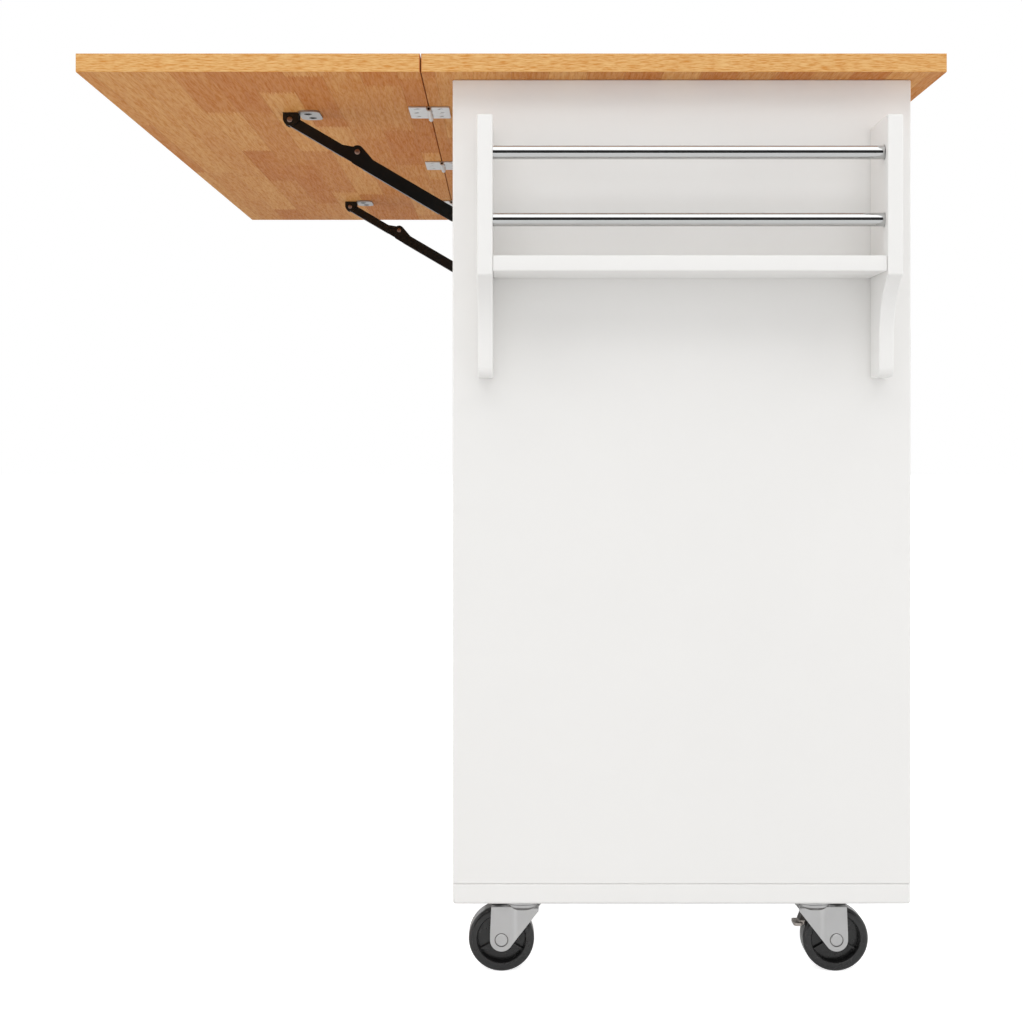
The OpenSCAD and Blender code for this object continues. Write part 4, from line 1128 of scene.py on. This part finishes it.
@dataclass
class Casters(SubAssembly):
    """Four swivel casters; the two on the front side have a brake."""

    hole_inset: float = 7 * MM
    plate_size: Span = (62 * MM, 46 * MM)
    plate_thick: float = 2.2 * MM
    screw: Screw = Screw(4.2 * MM, 1.4 * MM)

    def dress(self) -> None:
        """Zinc forks, plates and axles, moulded wheels, steel pedals and the plates' screws."""
        self.finish_nodes(Finishes.ZINC, "caster_plates")
        self.plate_screws()
        for end in ("near", "far"):
            for side in ("rear", "front"):
                caster = f"{end}_{side}"
                self.finish_nodes(Finishes.FORK_ZINC, f"{caster}_fork")
                self.finish_nodes(Finishes.ZINC, f"{caster}_axle")
                self.finish_nodes(Finishes.WHEEL, f"{caster}_wheel")
            self.finish_nodes(Finishes.BRAKE, f"{end}_front_brake")

    def plate_screws(self) -> None:
        """Pan head screws in the four corners of each plate."""
        low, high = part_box("caster_plates")
        starts_x = (low.x, high.x - self.plate_size[0])
        starts_y = (low.y, high.y - self.plate_size[1])
        spots = [
            (start_x + x, start_y + y, high.z - self.plate_thick)
            for start_x in starts_x
            for start_y in starts_y
            for x in (self.hole_inset, self.plate_size[0] - self.hole_inset)
            for y in (self.hole_inset, self.plate_size[1] - self.hole_inset)
        ]
        self.add_screws("caster_plate_screws", "cabinet", self.screw, spots)


# ---- studio


@dataclass(frozen=True)
class Lamp:
    """A rectangular soft lamp, whose radiance of 1 is white; unturned it shines down."""

    name: str
    place: Place
    turn: Place
    size: Span
    radiance: float
    mirrored: bool = False

    def light(self) -> None:
        """Adds the lamp, which the camera never sees, and reflections only where it is mirrored.

        Formula: the lamp's power is its radiance times its area times pi.
        """
        data = bpy.data.lights.new(self.name, "AREA")
        data.shape = "RECTANGLE"
        data.size, data.size_y = self.size
        data.energy = self.radiance * self.size[0] * self.size[1] * math.pi
        lamp = add_object(self.name, data)
        lamp.location = self.place
        lamp.rotation_euler = self.turn
        lamp.visible_camera = False
        lamp.visible_glossy = self.mirrored


@dataclass
class Studio:
    """Floor, world, lamps and camera."""

    camera_at: Place = (-3.6 * MM, -2.2049, 541.3 * MM)
    lens: float = 60.0
    sensor: float = 36.0
    shift: Span = (0.0039, -0.0764)
    ambient: float = 0.5
    floor_colour: Colour = (0.82, 0.82, 0.82)
    floor_glow: Span = (0.78, 0.15)
    floor_reach: float = 20.0
    flag_colour: Colour = (0.02, 0.02, 0.02)
    flag_y: float = -3.2
    flag_size: Span = (5.2, 2.2)
    matt_roughness: float = 0.9
    lamps: tuple[Lamp, ...] = (
        Lamp("ceiling", (0.0, -2.9, 4.0), (0.0, 0.0, 0.0), (6.5, 4.8), radiance=0.9, mirrored=True),
        Lamp("front", (0.0, -5.2, 1.3), (math.pi / 2, 0.0, 0.0), (5.0, 2.4), radiance=0.7, mirrored=True),
        Lamp("high front", (0.0, -4.2, 3.4), (0.966, 0.0, 0.0), (4.0, 1.6), radiance=1.2),
        Lamp("left", (-4.0, -1.2, 1.2), (1.405, 0.0, -1.279), (3.0, 2.0), radiance=2.3),
        Lamp("right", (4.0, -1.2, 1.2), (1.405, 0.0, 1.279), (3.0, 2.0), radiance=2.1),
        Lamp("back", (0.0, 4.6, 1.6), (-1.405, 0.0, 0.0), (4.0, 2.4), radiance=0.8),
    )

    def build(self) -> None:
        """Sets the whole studio."""
        self.camera()
        self.world()
        self.floor()
        self.flag()
        for lamp in self.lamps:
            lamp.light()
        bpy.context.scene.view_settings.view_transform = "Standard"

    def camera(self) -> None:
        """Level camera at the photograph's place, looking along +Y, framed by its shift."""
        data = bpy.data.cameras.new("camera")
        data.lens = self.lens
        data.sensor_width = self.sensor
        data.shift_x, data.shift_y = self.shift
        data.clip_start, data.clip_end = 0.05, 100.0
        camera = add_object("camera", data)
        camera.location = self.camera_at
        camera.rotation_euler = (math.pi / 2, 0.0, 0.0)
        bpy.context.scene.camera = camera

    def seen(self, graph: Graph) -> tuple[Socket, Socket]:
        """Masks of the rays that show a thing, and not the light that falls on others.

        Args:
            graph: The tree that they are for.

        Returns:
            1 for camera rays, and 1 for glossy and transmission rays.
        """
        path = graph.node("LightPath").outputs
        mirrored = graph.math("MAXIMUM", path["Is Glossy Ray"], path["Is Transmission Ray"])
        return path["Is Camera Ray"], mirrored

    def world(self) -> None:
        """Even white surroundings, at the ambient level for diffuse light."""
        world = bpy.data.worlds.new("studio")
        world.use_nodes = True
        bpy.context.scene.world = world
        graph = Graph(world.node_tree)
        background = world.node_tree.nodes["Background"]
        background.inputs["Color"].default_value = (1.0, 1.0, 1.0, 1.0)
        seen = graph.math("MAXIMUM", *self.seen(graph))
        level = graph.math("MULTIPLY_ADD", seen, 1.0 - self.ambient, self.ambient)
        graph.put(background.inputs["Strength"], level)

    def matt(self, name: str, colour: Colour) -> MaterialGraph:
        """Makes a matt material.

        Args:
            name: The material's name.
            colour: Its colour.

        Returns:
            The graph of the material.
        """
        graph = MaterialGraph(name)
        graph.feed("Base Color", colour)
        graph.feed("Roughness", self.matt_roughness)
        return graph

    def stage_plane(self, name: str, corners: np.ndarray, material: bpy.types.Material) -> bpy.types.Object:
        """Makes a four-cornered plane that isn't part of the object.

        Args:
            name: Its name.
            corners: Four rows of X, Y and Z.
            material: Its material.

        Returns:
            The plane.
        """
        mesh = bpy.data.meshes.new(name)
        mesh.from_pydata(corners.tolist(), [], [[0, 1, 2, 3]])
        mesh.materials.append(material)
        plane = add_object(name, mesh)
        return plane

    def floor(self) -> None:
        """Pale floor with a glow that only the camera and reflections see, so that it is white and keeps
        the object's shadow.
        """
        graph = self.matt("studio floor", self.floor_colour)
        graph.feed("Specular IOR Level", 0.0)
        graph.feed("Emission Color", (1.0, 1.0, 1.0))
        camera, mirrored = self.seen(graph)
        glow = graph.math("MULTIPLY", mirrored, self.floor_glow[1])
        glow = graph.math("MULTIPLY_ADD", camera, self.floor_glow[0], glow)
        graph.feed("Emission Strength", glow)
        reach = self.floor_reach
        corners = np.array([[-reach, -reach, 0], [reach, -reach, 0], [reach, reach, 0], [-reach, reach, 0]])
        self.stage_plane("floor", corners, graph.material)

    def flag(self) -> None:
        """Dark flag behind the camera, which only reflections see, so that bright metal has contrast."""
        right, top = self.flag_size[0] / 2, self.flag_size[1]
        flat = np.array([[right, 0.0], [-right, 0.0], [-right, top], [right, top]])
        corners = np.insert(flat, 1, self.flag_y, axis=1)
        plane = self.stage_plane("flag", corners, self.matt("dark flag", self.flag_colour).material)
        plane.visible_camera = plane.visible_diffuse = plane.visible_shadow = False
        plane.visible_transmission = plane.visible_volume_scatter = False


def main() -> None:
    """Loads the frame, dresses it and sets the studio."""
    logging.basicConfig(level=logging.INFO, format="%(message)s")
    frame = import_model()
    Studio().build()
    for kind in (Boards, LeafHinges, LeafSupports, Cabinet, Fronts, SpiceRack, Casters):
        LOG.info("-- %s", kind.__name__)
        kind(frame["nodes"]).dress()


if __name__ == "__main__":
    main()
